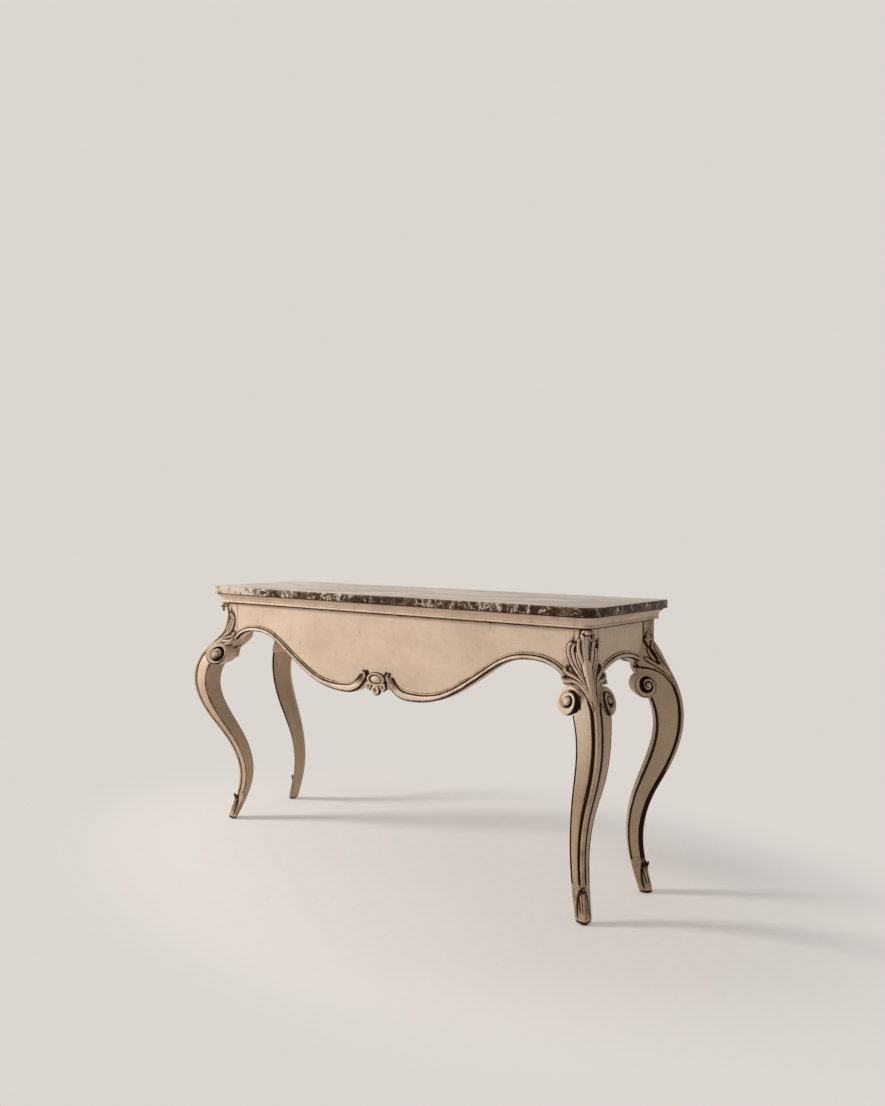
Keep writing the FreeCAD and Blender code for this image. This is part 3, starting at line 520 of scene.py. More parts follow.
class Finish(Nodes):
    """A new material on the object's own coordinates."""

    def __init__(self, name):
        self.material = bpy.data.materials.new(name)
        self.material.use_nodes = True
        super().__init__(self.material.node_tree)
        self.shader = self.tree.nodes["Principled BSDF"]
        self.place = self.node("ShaderNodeTexCoord").outputs["Object"]

    def stretched(self, scale, turn=(0, 0, 0), shift=(0, 0, 0)):
        return self.node("ShaderNodeMapping", {"Vector": self.place, "Scale": scale, "Rotation": turn,
                                               "Location": shift}).outputs["Vector"]

    def noise(self, scale, vector=None, detail=3.0, rough=0.5, bend=0.0):
        return self.node("ShaderNodeTexNoise", {"Vector": vector or self.place, "Scale": scale, "Detail": detail,
                                                "Roughness": rough, "Distortion": bend}).outputs["Fac"]

    def fit(self, value, low, high, to_low=0.0, to_high=1.0, smooth=True):
        return self.node("ShaderNodeMapRange", {"Value": value, "From Min": low, "From Max": high,
                                                "To Min": to_low, "To Max": to_high}, clamp=True,
                         interpolation_type="SMOOTHSTEP" if smooth else "LINEAR").outputs["Result"]

    def blend(self, share, a, b, way="MIX"):
        item = self.node("ShaderNodeMix", data_type="RGBA", blend_type=way)
        for socket, value in ((item.inputs[0], share), (item.inputs[6], a), (item.inputs[7], b)):
            if isinstance(value, bpy.types.NodeSocket):
                self.tree.links.new(value, socket)
            elif isinstance(value, (int, float)):
                socket.default_value = value
            else:
                socket.default_value = (*tuple(value)[:3], 1.0)
        return item.outputs[2]

    def attribute(self, name):
        return self.node("ShaderNodeAttribute", attribute_name=name).outputs["Fac"]

    def along(self, axis, *fit, **more):
        """A value that runs along an axis of the object, in metres."""
        place = self.node("ShaderNodeSeparateXYZ", {"Vector": self.place}).outputs[axis]
        return self.fit(place, *fit, **more)

    def bump(self, value, strength, distance):
        item = self.node("ShaderNodeBump", {"Height": value, "Strength": strength, "Distance": distance})
        self.tree.links.new(item.outputs["Normal"], self.shader.inputs["Normal"])

    def colour(self, value):
        self.tree.links.new(value, self.shader.inputs["Base Color"])

    def roughness(self, value):
        self.tree.links.new(value, self.shader.inputs["Roughness"])

    def fixed(self, **values):
        for name, value in values.items():
            self.shader.inputs[name.replace("_", " ")].default_value = value


def painted_finish(c):
    """Antique cream paint with a dark glaze in the carving, darkened further where painted shade and a painted
    shadow are laid on.
    """
    f = Finish("cream_paint")
    cloud = f.noise(5.5, detail=4.0, rough=0.55, bend=0.4)
    smear = f.noise(1.0, f.stretched((9, 30, 38)), detail=5.0, rough=0.62, bend=0.6)
    brush = f.noise(1.0, f.stretched((40, 260, 330)), detail=3.0, rough=0.6)
    ground = f.blend(f.fit(cloud, 0.36, 0.70), c.paint, c.paint_worn)
    ground = f.blend(f.fit(smear, 0.56, 0.80, 0.0, 0.34), ground, (0.50, 0.37, 0.265))
    ground = f.blend(f.fit(smear, 0.28, 0.44, 0.26, 0.0), ground, (0.83, 0.67, 0.51))
    ground = f.blend(f.fit(brush, 0.30, 0.72, 0.0, 0.10), ground, (0.40, 0.27, 0.18))
    dots = f.node("ShaderNodeTexVoronoi", {"Vector": f.place, "Scale": 26.0, "Randomness": 1.0})
    rare = f.node("ShaderNodeSeparateColor", {"Color": dots.outputs["Color"]}).outputs[0]
    speck = f.sum("MULTIPLY", f.fit(dots.outputs["Distance"], 0.055, 0.085, 1.0, 0.0), f.fit(rare, 0.90, 0.92))
    ground = f.blend(f.sum("MULTIPLY", speck, 0.75), ground, (0.075, 0.035, 0.022))
    patch = f.noise(28.0, detail=4.0, rough=0.65)
    edge = f.sum("MULTIPLY", f.fit(f.attribute("edge"), 0.35, 1.1), f.fit(patch, 0.44, 0.66, 0.0, 0.55))
    ground = f.blend(edge, ground, (0.27, 0.135, 0.075))
    # painted shade: points that a piece marks as shaded are darkened
    ground = f.blend(f.attribute("painted_shade"), ground, f.blend(1.0, ground, (0.70, 0.67, 0.59), "MULTIPLY"))
    # painted shadow of the cornice: a dark band just below its foot, on every painted piece
    foot = (UNDERSIDE - 34.0) * MM
    under = f.sum("MULTIPLY", f.along("Z", foot - 0.0075, foot - 0.0015, 0.0, 0.95),
                  f.along("Z", foot - 0.0002, foot + 0.0006, 1.0, 0.0))
    # the recess value holds the glaze in the carving together with the painted shade that the pieces lay on
    depth = f.sum("MAXIMUM", f.attribute("recess"), under)
    depth = f.sum("ADD", depth, f.fit(patch, 0.3, 0.7, -0.16, 0.16, smooth=False))
    warm = f.fit(depth, 0.05, 0.40, 0.0, 0.72)
    ground = f.blend(warm, ground, (0.17, 0.068, 0.036))
    ground = f.blend(f.fit(depth, 0.22, 0.66, 0.0, 0.98), ground, c.glaze)
    f.colour(ground)
    f.tree.links.new(f.fit(depth, 0.1, 0.6, 0.40, 0.08), f.shader.inputs["Specular IOR Level"])
    f.roughness(f.fit(smear, 0.3, 0.7, 0.40, 0.56))
    f.bump(f.sum("ADD", f.sum("MULTIPLY", brush, 0.5), smear), 0.12, 0.0015)


def marble_finish(c):
    """Brown marble with cream veins and clouds, polished, and a painted reflection of the pale room on its top.
    """
    f = Finish("brown_marble")
    drift = f.node("ShaderNodeTexNoise", {"Vector": f.place, "Scale": 11.0, "Detail": 4.0, "Roughness": 0.6})
    drift = f.node("ShaderNodeVectorMath", {0: drift.outputs["Color"], 3: 0.085}, operation="SCALE").outputs[0]
    bent = f.node("ShaderNodeVectorMath", {0: f.place, 1: drift}, operation="ADD").outputs[0]
    grain = f.noise(70.0, bent, detail=6.0, rough=0.7)
    zone = f.noise(5.0, bent, detail=3.0, rough=0.6)
    flake = f.noise(58.0, bent, detail=6.0, rough=0.68, bend=0.8)
    side = f.along("X", -0.72, -0.15, 0.15, 0.0, smooth=False)
    for part in ((-0.826, -0.812, -0.25, 0.0), (0.815, 0.829, 0.0, -0.085), (-0.20, 0.0, 0.0, -0.035),
                 (0.42, 0.55, 0.0, 0.065)):
        side = f.sum("ADD", side, f.along("X", *part))
    brown = f.blend(f.fit(grain, 0.32, 0.68), c.marble_dark, (0.060, 0.027, 0.012))
    patch = f.noise(34.0, bent, detail=5.0)
    brown = f.blend(f.fit(patch, 0.50, 0.60, 0.0, 0.80), brown, (0.155, 0.090, 0.050))
    pale = f.sum("ADD", f.sum("ADD", flake, f.fit(zone, 0.35, 0.65, -0.060, 0.055)), side)
    ground = f.blend(f.fit(pale, 0.530, 0.606, 0.0, 0.94), brown, c.marble_pale)
    ground = f.blend(f.fit(grain, 0.60, 0.74, 0.0, 0.35), ground, (0.28, 0.18, 0.11))
    cells = f.node("ShaderNodeTexVoronoi", {"Vector": bent, "Scale": 15.0}, feature="DISTANCE_TO_EDGE")
    line = f.fit(cells.outputs["Distance"], 0.0, 0.035, 0.9, 0.0)
    veined = f.sum("MULTIPLY", line, f.fit(f.noise(10.0, detail=2.0), 0.46, 0.66))
    ground = f.blend(veined, ground, c.marble_pale)
    # painted reflection: faces turned up are blended to a streaky cream, the pale room mirrored in the polished
    # top
    normal = f.node("ShaderNodeNewGeometry").outputs["Normal"]
    top = f.fit(f.node("ShaderNodeSeparateXYZ", {"Vector": normal}).outputs["Z"], 0.75, 0.98)
    streak = f.noise(1.0, f.stretched((3.5, 16, 1), turn=(0, 0, 0.3)), detail=5.0, rough=0.6, bend=0.8)
    streak = f.sum("SUBTRACT", streak, f.along("X", 0.45, 0.83, 0.0, 0.12))
    cream = f.blend(f.fit(streak, 0.34, 0.60), (0.40, 0.26, 0.155), (0.82, 0.66, 0.48))
    ground = f.blend(f.sum("MULTIPLY", top, 0.80), ground, cream)
    f.colour(ground)
    f.roughness(f.fit(top, 0.0, 1.0, 0.30, 0.22))
    f.tree.links.new(f.fit(top, 0.0, 1.0, 0.10, 0.24), f.shader.inputs["Specular IOR Level"])
    f.bump(grain, 0.05, 0.0004)


def bare_wood_finish(c):
    """Planed, unpainted wood with its grain along the piece."""
    f = Finish("planed_wood")
    along = f.stretched((3, 40, 40))
    rings = f.noise(1.0, along, detail=5.0, rough=0.55, bend=1.2)
    pores = f.noise(1.0, f.stretched((14, 520, 520)), detail=3.0, rough=0.7)
    ground = f.blend(f.fit(rings, 0.35, 0.68), c.bare_wood, (0.27, 0.145, 0.070))
    ground = f.blend(f.fit(pores, 0.5, 0.75, 0.0, 0.4), ground, (0.15, 0.075, 0.035))
    ground = f.blend(f.fit(f.noise(6.0), 0.4, 0.7, 0.0, 0.35), ground, (0.30, 0.19, 0.11))
    f.colour(ground)
    f.roughness(f.fit(rings, 0.3, 0.7, 0.62, 0.78))
    f.bump(pores, 0.25, 0.001)


def metal_finish(c):
    f = Finish("bright_steel")
    turned = f.noise(1.0, f.stretched((900, 900, 40)), detail=2.0)
    tarnish = f.noise(60.0, detail=4.0)
    f.colour(f.blend(f.fit(tarnish, 0.4, 0.7), (0.50, 0.49, 0.47), (0.30, 0.27, 0.24)))
    f.roughness(f.fit(turned, 0.3, 0.7, 0.28, 0.46))
    f.bump(turned, 0.1, 0.0003)
    f.fixed(Metallic=1.0)


def felt_finish(c):
    f = Finish("dark_felt")
    fuzz = f.noise(900.0, detail=4.0, rough=0.8)
    f.colour(f.blend(f.fit(fuzz, 0.3, 0.7), (0.045, 0.035, 0.030), (0.13, 0.105, 0.09)))
    f.roughness(f.fit(fuzz, 0.3, 0.7, 0.86, 0.98))
    f.bump(fuzz, 0.6, 0.0008)


def glide_finish(c):
    f = Finish("glide_plastic")
    scuff = f.noise(160.0, detail=4.0)
    f.colour(f.blend(f.fit(scuff, 0.4, 0.7), (0.05, 0.032, 0.024), (0.10, 0.07, 0.055)))
    f.roughness(f.fit(scuff, 0.3, 0.7, 0.45, 0.65))
    f.bump(scuff, 0.2, 0.0004)


class TABLE_OT_finishes(bpy.types.Operator):
    """Makes the paint, the marble, the bare wood and the small metal, felt and plastic finishes"""
    bl_idname = "table.finishes"
    bl_label = "Finishes"

    def execute(self, context):
        colours = context.scene.table_colours
        for make in (painted_finish, marble_finish, bare_wood_finish, metal_finish, felt_finish, glide_finish):
            make(colours)
        shown = {"brace_bolts": "bright_steel", "slab_pads": "dark_felt", "foot_glides": "glide_plastic"}
        shown.update((node, "planed_wood") for node in PLANED)
        for node, material in shown.items():
            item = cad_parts[node]
            if not item.material_slots:
                item.data.materials.append(None)
            for place in item.material_slots:
                place.material = bpy.data.materials[material]
        return {"FINISHED"}


# ---------------------------------------------------------------- stage
class TABLE_OT_stage(bpy.types.Operator):
    """Sets the floor, the soft light from the left and the camera"""
    bl_idname = "table.stage"
    bl_label = "Stage"

    def execute(self, context):
        scene = context.scene
        back = tuple(scene.table_colours.backdrop)
        clear_selection()
        bpy.ops.mesh.primitive_circle_add(vertices=96, radius=FLOOR_RADIUS, fill_type="NGON", location=(0, 0, 0))
        floor = context.active_object
        floor.name = "floor"
        f = Finish("floor")
        f.tree.nodes.remove(f.shader)
        stone = f.blend(f.fit(f.noise(35.0, detail=2.0), 0.3, 0.7), (0.955, 0.90, 0.855), (0.97, 0.915, 0.87))
        matt = f.node("ShaderNodeBsdfDiffuse", {"Color": stone}).outputs[0]
        oval = f.stretched((0.74, 1.25, 1.0), shift=(-0.20, 0, 0))
        away = f.node("ShaderNodeVectorMath", {0: oval}, operation="LENGTH").outputs["Value"]
        ray = f.node("ShaderNodeLightPath").outputs
        seen = f.sum("MAXIMUM", ray["Is Camera Ray"], ray["Is Glossy Ray"])
        near = f.blend(f.along("X", -1.3, 0.5), back, tuple(part * 1.20 for part in back))
        shown = f.blend(f.fit(away, 0.62, 1.40), near, back)
        plain = f.node("ShaderNodeEmission", {"Color": shown, "Strength": 1.0}).outputs[0]
        share = f.sum("MULTIPLY", seen, f.fit(away, 0.62, 1.40, 0.26, 1.0))
        f.end(f.node("ShaderNodeMixShader", {0: share, 1: matt, 2: plain}).outputs[0], "Material Output")
        floor.data.materials.append(f.material)

        world = bpy.data.worlds.new("studio")
        world.use_nodes = True
        scene.world = world
        w = Nodes(world.node_tree)
        light = w.tree.nodes["Background"]
        light.inputs["Color"].default_value = (0.98, 0.985, 1.0, 1.0)
        light.inputs["Strength"].default_value = WORLD_STRENGTH
        shown = w.node("ShaderNodeBackground", {"Color": (*back, 1.0), "Strength": 1.0})
        ray = w.node("ShaderNodeLightPath").outputs
        seen = w.sum("MAXIMUM", w.sum("MAXIMUM", ray["Is Camera Ray"], ray["Is Glossy Ray"]),
                     ray["Is Transmission Ray"])
        mixed = w.node("ShaderNodeMixShader", {0: seen, 1: light.outputs[0], 2: shown.outputs[0]})
        w.end(mixed.outputs[0], "World Output")

        clear_selection()
        bpy.ops.object.light_add(type="AREA", location=KEY_PLACE)
        key = context.active_object
        key.name = "key"
        key.rotation_euler = (KEY_PLACE - KEY_AIM).to_track_quat("Z", "Y").to_euler()
        key.data.shape = "DISK"
        key.data.size = KEY_SIZE
        key.data.energy = KEY_POWER
        key.data.color = (1.0, 0.975, 0.94)
        key.visible_camera = False

        turn = (math.radians(90 - CAMERA_DIP), 0, math.radians(CAMERA_HEADING))
        bpy.ops.object.camera_add(location=CAMERA_PLACE, rotation=turn)
        camera = context.active_object
        camera.name = "camera"
        camera.data.lens = CAMERA_LENS
        camera.data.sensor_width = CAMERA_SENSOR
        camera.data.shift_x = CAMERA_SHIFT
        scene.camera = camera
        scene.view_settings.view_transform = "Standard"
        return {"FINISHED"}


# ---------------------------------------------------------------- slab, cornice and aprons
class TABLE_OT_slab(bpy.types.Operator):
    """Cuts the marble slab, with two round front corners and an eased edge"""
    bl_idname = "table.slab"
    bl_label = "Marble slab"

    def execute(self, context):
        slab = block(SLAB_LOW, SLAB_HIGH)

        def upright(front):
            def test(p):
                tall = abs(p[0, 2] - p[1, 2]) > 1 and np.ptp(p[:, :2], axis=0).max() < 0.1
                return tall and (p[0, 1] < 0) == front
            return test
        for front, radius, steps in ((True, 60, 18), (False, 8, 6)):
            bevelled(slab, upright(front), radius, segments=steps)
        for level, radius, steps in ((SLAB_HIGH[2], 4, 5), (SLAB_LOW[2], 1.2, 2)):
            bevelled(slab, lambda p: np.abs(p[:, 2] - level).max() < 0.01, radius, segments=steps)
        sound(slab)
        smooth_shade(slab, 35)
        finished(slab, "marble_slab", "marble", "brown_marble", "marble_top")
        return {"FINISHED"}


def moulding(rows, glaze_and_shade):
    """A closed moulding from sections of points, with its glaze and painted shade given point by point along the
    section.
    """
    item = laid(closed(rows))
    glaze_and_shade = np.broadcast_to(glaze_and_shade, rows.shape[:2])
    write_value(item.data, "recess", closed(glaze_and_shade[..., None]).ravel())
    return sound(item)


class TABLE_OT_cornice(bpy.types.Operator):
    """Runs the cornice under the slab, mitred at the two rounded front corners"""
    bl_idname = "table.cornice"
    bl_label = "Cornice"

    def execute(self, context):
        corner, high, proud, foot = 16.0, 34.0, 30.0, 14.0
        turn = np.linspace(0, math.pi, 7)
        half_round = [(foot + 2.2 * math.sin(a), 3.2 - 3.2 * math.cos(a)) for a in turn]
        cove = [tuple(p) for p in spline([(foot + 0.2, 7.2), (15.4, 14.0), (18.9, 20.6), (26.6, 27.0)], 14)]
        top = [(27.0, 27.4), (29.3, 27.4), (29.8, 27.9), (30.0, 28.6), (30.0, 29.8), (30.0, 30.6), (29.6, 33.7),
               (28.8, 34.0)]
        section = np.array([(0, 0)] + half_round + cove + top + [(0, high)])
        section[:, 0] = np.minimum(section[:, 0], proud)
        glaze_and_shade = np.zeros(len(section))
        glaze_and_shade[3:-4] = 0.05
        glaze_and_shade[[0, 1, 2, 8]] = 1.2, 1.1, 0.5, 0.24        # painted shade under the half round and behind it
        glaze_and_shade[21:24] = 0.2, 0.36, 0.26                   # painted shade under the top fillet, over the cove
        glaze_and_shade[-4:] = 1.1, 1.3, 1.3, 1.3                  # painted shadow of the slab

        def row(x, y, angle):
            way = np.array([math.sin(angle), -math.cos(angle)])
            flat = np.array([x, y]) + section[:, :1] * way
            return np.column_stack([flat, UNDERSIDE - high + section[:, 1]])
        axis_x, axis_y = POST_X - corner, FRONT_Y + corner

        def bent(angle):
            """A section at the corner: it starts at the post's face, a corner's width away from its centre."""
            way = np.array([math.sin(angle), -math.cos(angle)])
            return row(axis_x + corner * way[0], axis_y + corner * way[1], angle)
        steps = np.radians(np.linspace(45, 0, 9))
        half = [bent(a) for a in steps]
        runs = [row(x, FRONT_Y, 0) for x in np.linspace(axis_x, -axis_x, 40)[1:-1]]
        left = [np.column_stack([-r[:, 0], r[:, 1:]]) for r in reversed(half)]
        front = moulding(np.array(half + runs + left), glaze_and_shade)
        painted(smooth_shade(front, 32), "cornice_front_run", "cornice_front")
        side = [bent(math.radians(a)) for a in np.linspace(45, 90, 9)]
        side += [row(POST_X, y, math.pi / 2) for y in np.linspace(axis_y, BACK_Y, 14)[1:]]
        painted_pair(smooth_shade(moulding(np.array(side), glaze_and_shade), 32), "cornice_#_run", "cornice_#")
        return {"FINISHED"}


def board_copy(node):
    """A CAD board's copy, merged into whole faces and shaded as one surface."""
    item = own_copy(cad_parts[node])
    edit(item)
    bpy.ops.mesh.customdata_custom_splitnormals_clear()
    bpy.ops.mesh.remove_doubles(threshold=2e-5)
    bpy.ops.mesh.select_all(action="SELECT")
    bpy.ops.mesh.dissolve_limited(angle_limit=math.radians(0.5))
    leave_edit()
    return smooth_shade(item, 30)


class TABLE_OT_aprons(bpy.types.Operator):
    """Saws the shaped front board and the two side boards"""
    bl_idname = "table.aprons"
    bl_label = "Aprons"

    def execute(self, context):
        for side in ("front", "left", "right"):
            painted(board_copy("apron_" + side), "apron_board_" + side, "apron_" + side)
        return {"FINISHED"}


def edge_points(node, axis, level):
    """The lower edge of a board's face, from its CAD mesh: pairs of place along the board and height."""
    points = coordinates(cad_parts[node].data) / MM
    on_face = points[np.abs(points[:, axis] - level) < 0.05]
    other = 1 - axis
    pairs = {}
    for p in on_face:
        if p[2] < UNDERSIDE - 60:
            key = round(p[other], 1)
            pairs[key] = min(pairs.get(key, 1e9), p[2])
    return np.array(sorted(pairs.items()))


def bead_rows(path, wide, dish, proud, to_world):
    """Sections of the bead along its path in the board's plane, with the bead's width and hollow at each point,
    and the glaze and painted shade on them."""
    along = np.gradient(path, axis=0)
    along /= np.linalg.norm(along, axis=1)[:, None]
    up = np.column_stack([along[:, 1], -along[:, 0]])
    rows = []
    for point, way, w, hollow in zip(path, up, wide, dish):
        k = w / 20.0
        f = min(1.0, w / 16.0)
        ridge = 1 - 0.85 * min(max((w - 23.0) / 7.0, 0.0), 1.0)
        p = proud * min(1.0, 0.35 + 0.65 * w / 18)
        h = 1 - hollow * np.array([0.0, 0.25, 0.45, 0.58, 0.64, 0.6])
        section = np.array([(0, -1.5), (0, 0.22 * p), (0.9 * k, 0.52 * p), (2.4 * k, 0.80 * p * h[0]),
                            (4.6 * k, 0.97 * p * h[1]), (6.6 * k, p * h[2]), (8.8 * k, 0.95 * p * h[3]),
                            (w - 9.2 * f, 0.80 * p * h[4]), (w - 7.6 * f, 0.56 * p * h[5]),
                            (w - 6.6 * f, 0.22 * p), (w - 5.7 * f, 0.12 * p), (w - 4.9 * f, 0.26 * p * ridge),
                            (w - 4.1 * f, 0.50 * p * ridge), (w - 2.7 * f, 0.56 * p * ridge),
                            (w - 1.2 * f, 0.46 * p * ridge), (w - 0.3 * f, 0.20 * p * ridge), (w, 0.35 * ridge),
                            (w + 0.9 * f, 0.22), (w + 2.6 * f, 0.12), (w + 2.6 * f, -1.5)])
        flat = point + section[:, :1] * way
        rows.append(to_world(flat, section[:, 1]))
    # along the section: painted shade on the bead's lower half, and glaze with some painted shade in its groove
    # and where it meets the board above
    glaze_and_shade = np.array([1, 1, 1, 0.62, 0.24, 0.06, 0, 0.05, 0.4, 0.95,
                     1.1, 0.9, 0.25, 0.05, 0.12, 0.4, 0.6, 0.3, 0, 0])
    # painted shade in the hollow of a curl
    deep = np.array([0, 0, 0, 0, 0.1, 0.3, 0.45, 0.6, 0.9, 1.2, 1.2, 1.2, 0.9, 0.8, 0.7, 0.6, 0.3, 0, 0, 0])
    return np.array(rows), np.maximum(glaze_and_shade, deep * np.asarray(dish)[:, None])


class TABLE_OT_beads(bpy.types.Operator):
    """Carves the beads along the aprons' lower edges"""
    bl_idname = "table.beads"
    bl_label = "Beads"

    def execute(self, context):
        proud = context.scene.table_sizes.bead_proud / MM
        edge = edge_points("apron_front", 1, APRON_FACE_Y)
        edge = edge[edge[:, 0] > 148]
        right_end = edge[:, 0].max()
        xs = np.arange(right_end, 150, -4.0)
        shared = np.column_stack([xs, np.interp(xs, edge[:, 0], edge[:, 1])])
        shared = np.vstack([shared[:1], (shared[:-2] + shared[1:-1] + shared[2:]) / 3, shared[-1:]])
        bottom = edge[:, 1].min()
        rises = ((150, 0), (122, 0.8), (92, 9), (67, 25), (50, 44), (41.5, 60), (41, 71), (46, 79), (54, 82),
                 (61, 81))
        curl = spline([(x, bottom + up) for x, up in rises], 70)
        path = np.vstack([shared, curl[1:]])
        run = np.concatenate([[0], np.cumsum(np.linalg.norm(np.diff(path, axis=0), axis=1))])
        length = run[-1]
        places = [0, 60, 130, 260, 480, 620, 690] + [length - rest for rest in (60, 40, 26, 13, 0)]
        wide = np.interp(run, places, [21, 21, 20.5, 20, 23, 31, 34, 34.5, 34, 31, 26, 17])
        dish = 0.9 * ease(run, length - 130, length - 55)

        def on_front(flat, out):
            return np.column_stack([flat[:, 0], APRON_FACE_Y - out, flat[:, 1]])
        rows, glaze_and_shade = bead_rows(path, wide, dish, proud, on_front)
        # darker along the middle of the run
        glaze_and_shade = glaze_and_shade + 0.12 * hump(run, 380, 230)[:, None]
        painted_pair(smooth_shade(moulding(rows, glaze_and_shade), 50), "bead_carved_front_#", "bead_front_#")
        face = POST_X - 1.0
        arch = edge_points("apron_right", 0, face)
        arch = arch[(arch[:, 0] >= FRONT_POST_IN_Y - 0.2) & (arch[:, 0] <= BACK_POST_IN_Y + 0.2)]
        ys = np.linspace(arch[0, 0], arch[-1, 0], 70)
        path = np.column_stack([-ys[::-1], np.interp(ys, arch[:, 0], arch[:, 1])[::-1]])

        def on_side(flat, out):
            return np.column_stack([face + out, -flat[:, 0], flat[:, 1]])
        path = path[::-1]
        rows, glaze_and_shade = bead_rows(path, np.full(len(path), 20.0), np.zeros(len(path)), proud, on_side)
        painted_pair(smooth_shade(moulding(rows, glaze_and_shade), 50), "bead_carved_#", "bead_#")
        return {"FINISHED"}


# ---------------------------------------------------------------- centre ornament
def ball(at, half, turn=0.0, shape=None):
    """A sphere drawn out to its half sizes in mm, shaped, turned in the apron's plane and put in its place."""
    clear_selection()
    bpy.ops.mesh.primitive_uv_sphere_add(segments=32, ring_count=20, radius=1.0)
    item = bpy.context.active_object
    points = coordinates(item.data)
    if shape:
        points = shape(points)
    points = points * np.array(half)
    c, s = math.cos(turn), math.sin(turn)
    x, z = points[:, 0] * c - points[:, 2] * s, points[:, 0] * s + points[:, 2] * c
    points = np.column_stack([x, points[:, 1], z]) + np.array(at)
    put(item, points * MM)
    item.data.update()
    return item


class TABLE_OT_ornament(bpy.types.Operator):
    """Carves the ornament in the middle of the front apron: a cabochon in a ring over three petals"""
    bl_idname = "table.ornament"
    bl_label = "Centre ornament"

    def execute(self, context):
        def petal(points):
            """Rounded and hollowed like a spoon, with a soft ridge down its middle, narrow at the top."""
            taper = 1.0 - 0.34 * np.clip(points[:, 2], 0, 1) ** 1.5
            x, y, z = points[:, 0] * taper, points[:, 1].copy(), points[:, 2]
            front = y < 0
            dish = 0.34 * np.clip(1 - (x / 0.72) ** 2 - ((z + 0.1) / 0.8) ** 2, 0, 1)
            ridge = 0.26 * np.exp(-(x / 0.16) ** 2) * np.clip(1 - z ** 2, 0, 1)
            y[front] = y[front] + dish[front] - ridge[front]
            return np.column_stack([x, y, z])
        middle = ORNAMENT_Z
        parts = [ball((0, APRON_FACE_Y - 1, middle), (23.5, 12, 12.5))]
        clear_selection()
        bpy.ops.mesh.primitive_torus_add(major_radius=1.0, minor_radius=0.13, major_segments=64,
                                         minor_segments=16)
        ring = context.active_object
        points = coordinates(ring.data)
        points = np.column_stack([points[:, 0] * 33.5, points[:, 2] * 34.0, points[:, 1] * 18.0])
        put(ring, (points + np.array([0, APRON_FACE_Y - 5.0, middle])) * MM)
        parts.append(sound(ring))
        # a thin plate and two pads just off the apron, dark all over: painted shade between the ring and the
        # bead's curls
        parts.append(ball((0, APRON_FACE_Y + 0.5, middle - 4), (50, 2.6, 28)))
        for side in (-1, 1):
            parts.append(ball((41 * side, APRON_FACE_Y + 0.4, middle + 7), (9, 3.0, 22)))
        petals = ((0, -34, 19.0, 21.0, 0, 13), (-31, -23, 15.0, 15.0, -0.5, 10), (31, -23, 15.0, 15.0, 0.5, 10))
        for x, z, long, wide, lean, out in petals:
            parts.append(ball((x, APRON_FACE_Y - 1, middle + z), (wide, out, long), lean, petal))
        whole = fused(joined(parts), 0.0010, smooth=2)
        trimmed(whole, 1, APRON_FACE_Y + 0.6)
        x0, y0, z0 = (coordinates(whole.data) / MM).T
        # painted shade: every point close to the apron's face is dark
        line = 1.1 * (1 - ease(APRON_FACE_Y - y0, 2.2, 4.6))
        for x, z, long, wide, lean, out in petals:
            c, s = math.cos(lean), math.sin(lean)
            u, v = (x0 - x) * c + (z0 - middle - z) * s, (z0 - middle - z) * c - (x0 - x) * s
            far = np.hypot(u / (wide * (1 - 0.34 * np.clip(v / long, 0, 1) ** 1.5)), v / long)
            glaze = hump(far, 1.0, 0.2) ** 0.7 * (v < 0.5 * long) + 0.42 * hump(far, 0.1, 0.5)
            line = np.maximum(line, (z0 < middle - 15) * glaze)
        write_value(whole.data, "line", line)
        mark_recesses(whole, 8, 50, 0.45, 2.0)
        painted(smooth_shade(whole), "ornament_carved", "centre_ornament")
        return {"FINISHED"}


# ---------------------------------------------------------------- legs
class LegShape:
    """The S of a leg: where its arris and its faces are at any height."""

    def __init__(self, stations, corner, turn):
        rows = np.array(stations, float)
        outer = spline(rows[:, [0, 1]], 600)
        inner = spline(np.column_stack([rows[:, 0], rows[:, 1] - rows[:, 2]]), 600)
        slant = spline(np.column_stack([rows[:, 0], rows[:, 1] - rows[:, 2] + rows[:, 3] / 2]), 600)
        self.outer, self.inner, self.slant = outer, inner, slant
        self.corner, self.turn = np.array(corner, float), turn
        self.front = 1.15 if turn else 1.0      # a back leg's front face is wider than its square
        self.side_band = 0.0 if turn else 4.5   # a front leg's arris band is wider on its side face
        self.top = rows[-1, 0]

    def out(self, z):
        return np.interp(z, self.outer[:, 0], self.outer[:, 1])

    def wide(self, z):
        return self.out(z) - np.interp(z, self.inner[:, 0], self.inner[:, 1])

    def flat(self, z):
        return 2 * (self.wide(z) - (self.out(z) - np.interp(z, self.slant[:, 0], self.slant[:, 1])))

    def world(self, x, y, z):
        """From the corner's own directions to the table's."""
        c, s = math.cos(self.turn), math.sin(self.turn)
        return np.stack([self.corner[0] + c * x - s * y, self.corner[1] + s * x + c * y, z + 0 * x], axis=-1)

    def on_face(self, s, z, lift, side=False, least=None):
        """A point on the front face, or the side one: s from the arris, lift off the face."""
        s, z, lift = np.asarray(s, float), np.asarray(z, float), np.asarray(lift, float)
        out = self.out(z) if least is None else np.maximum(self.out(z), least)
        if side:
            return self.world(out + lift, -out + s, z)
        return self.world(out - s, -out - lift, z)


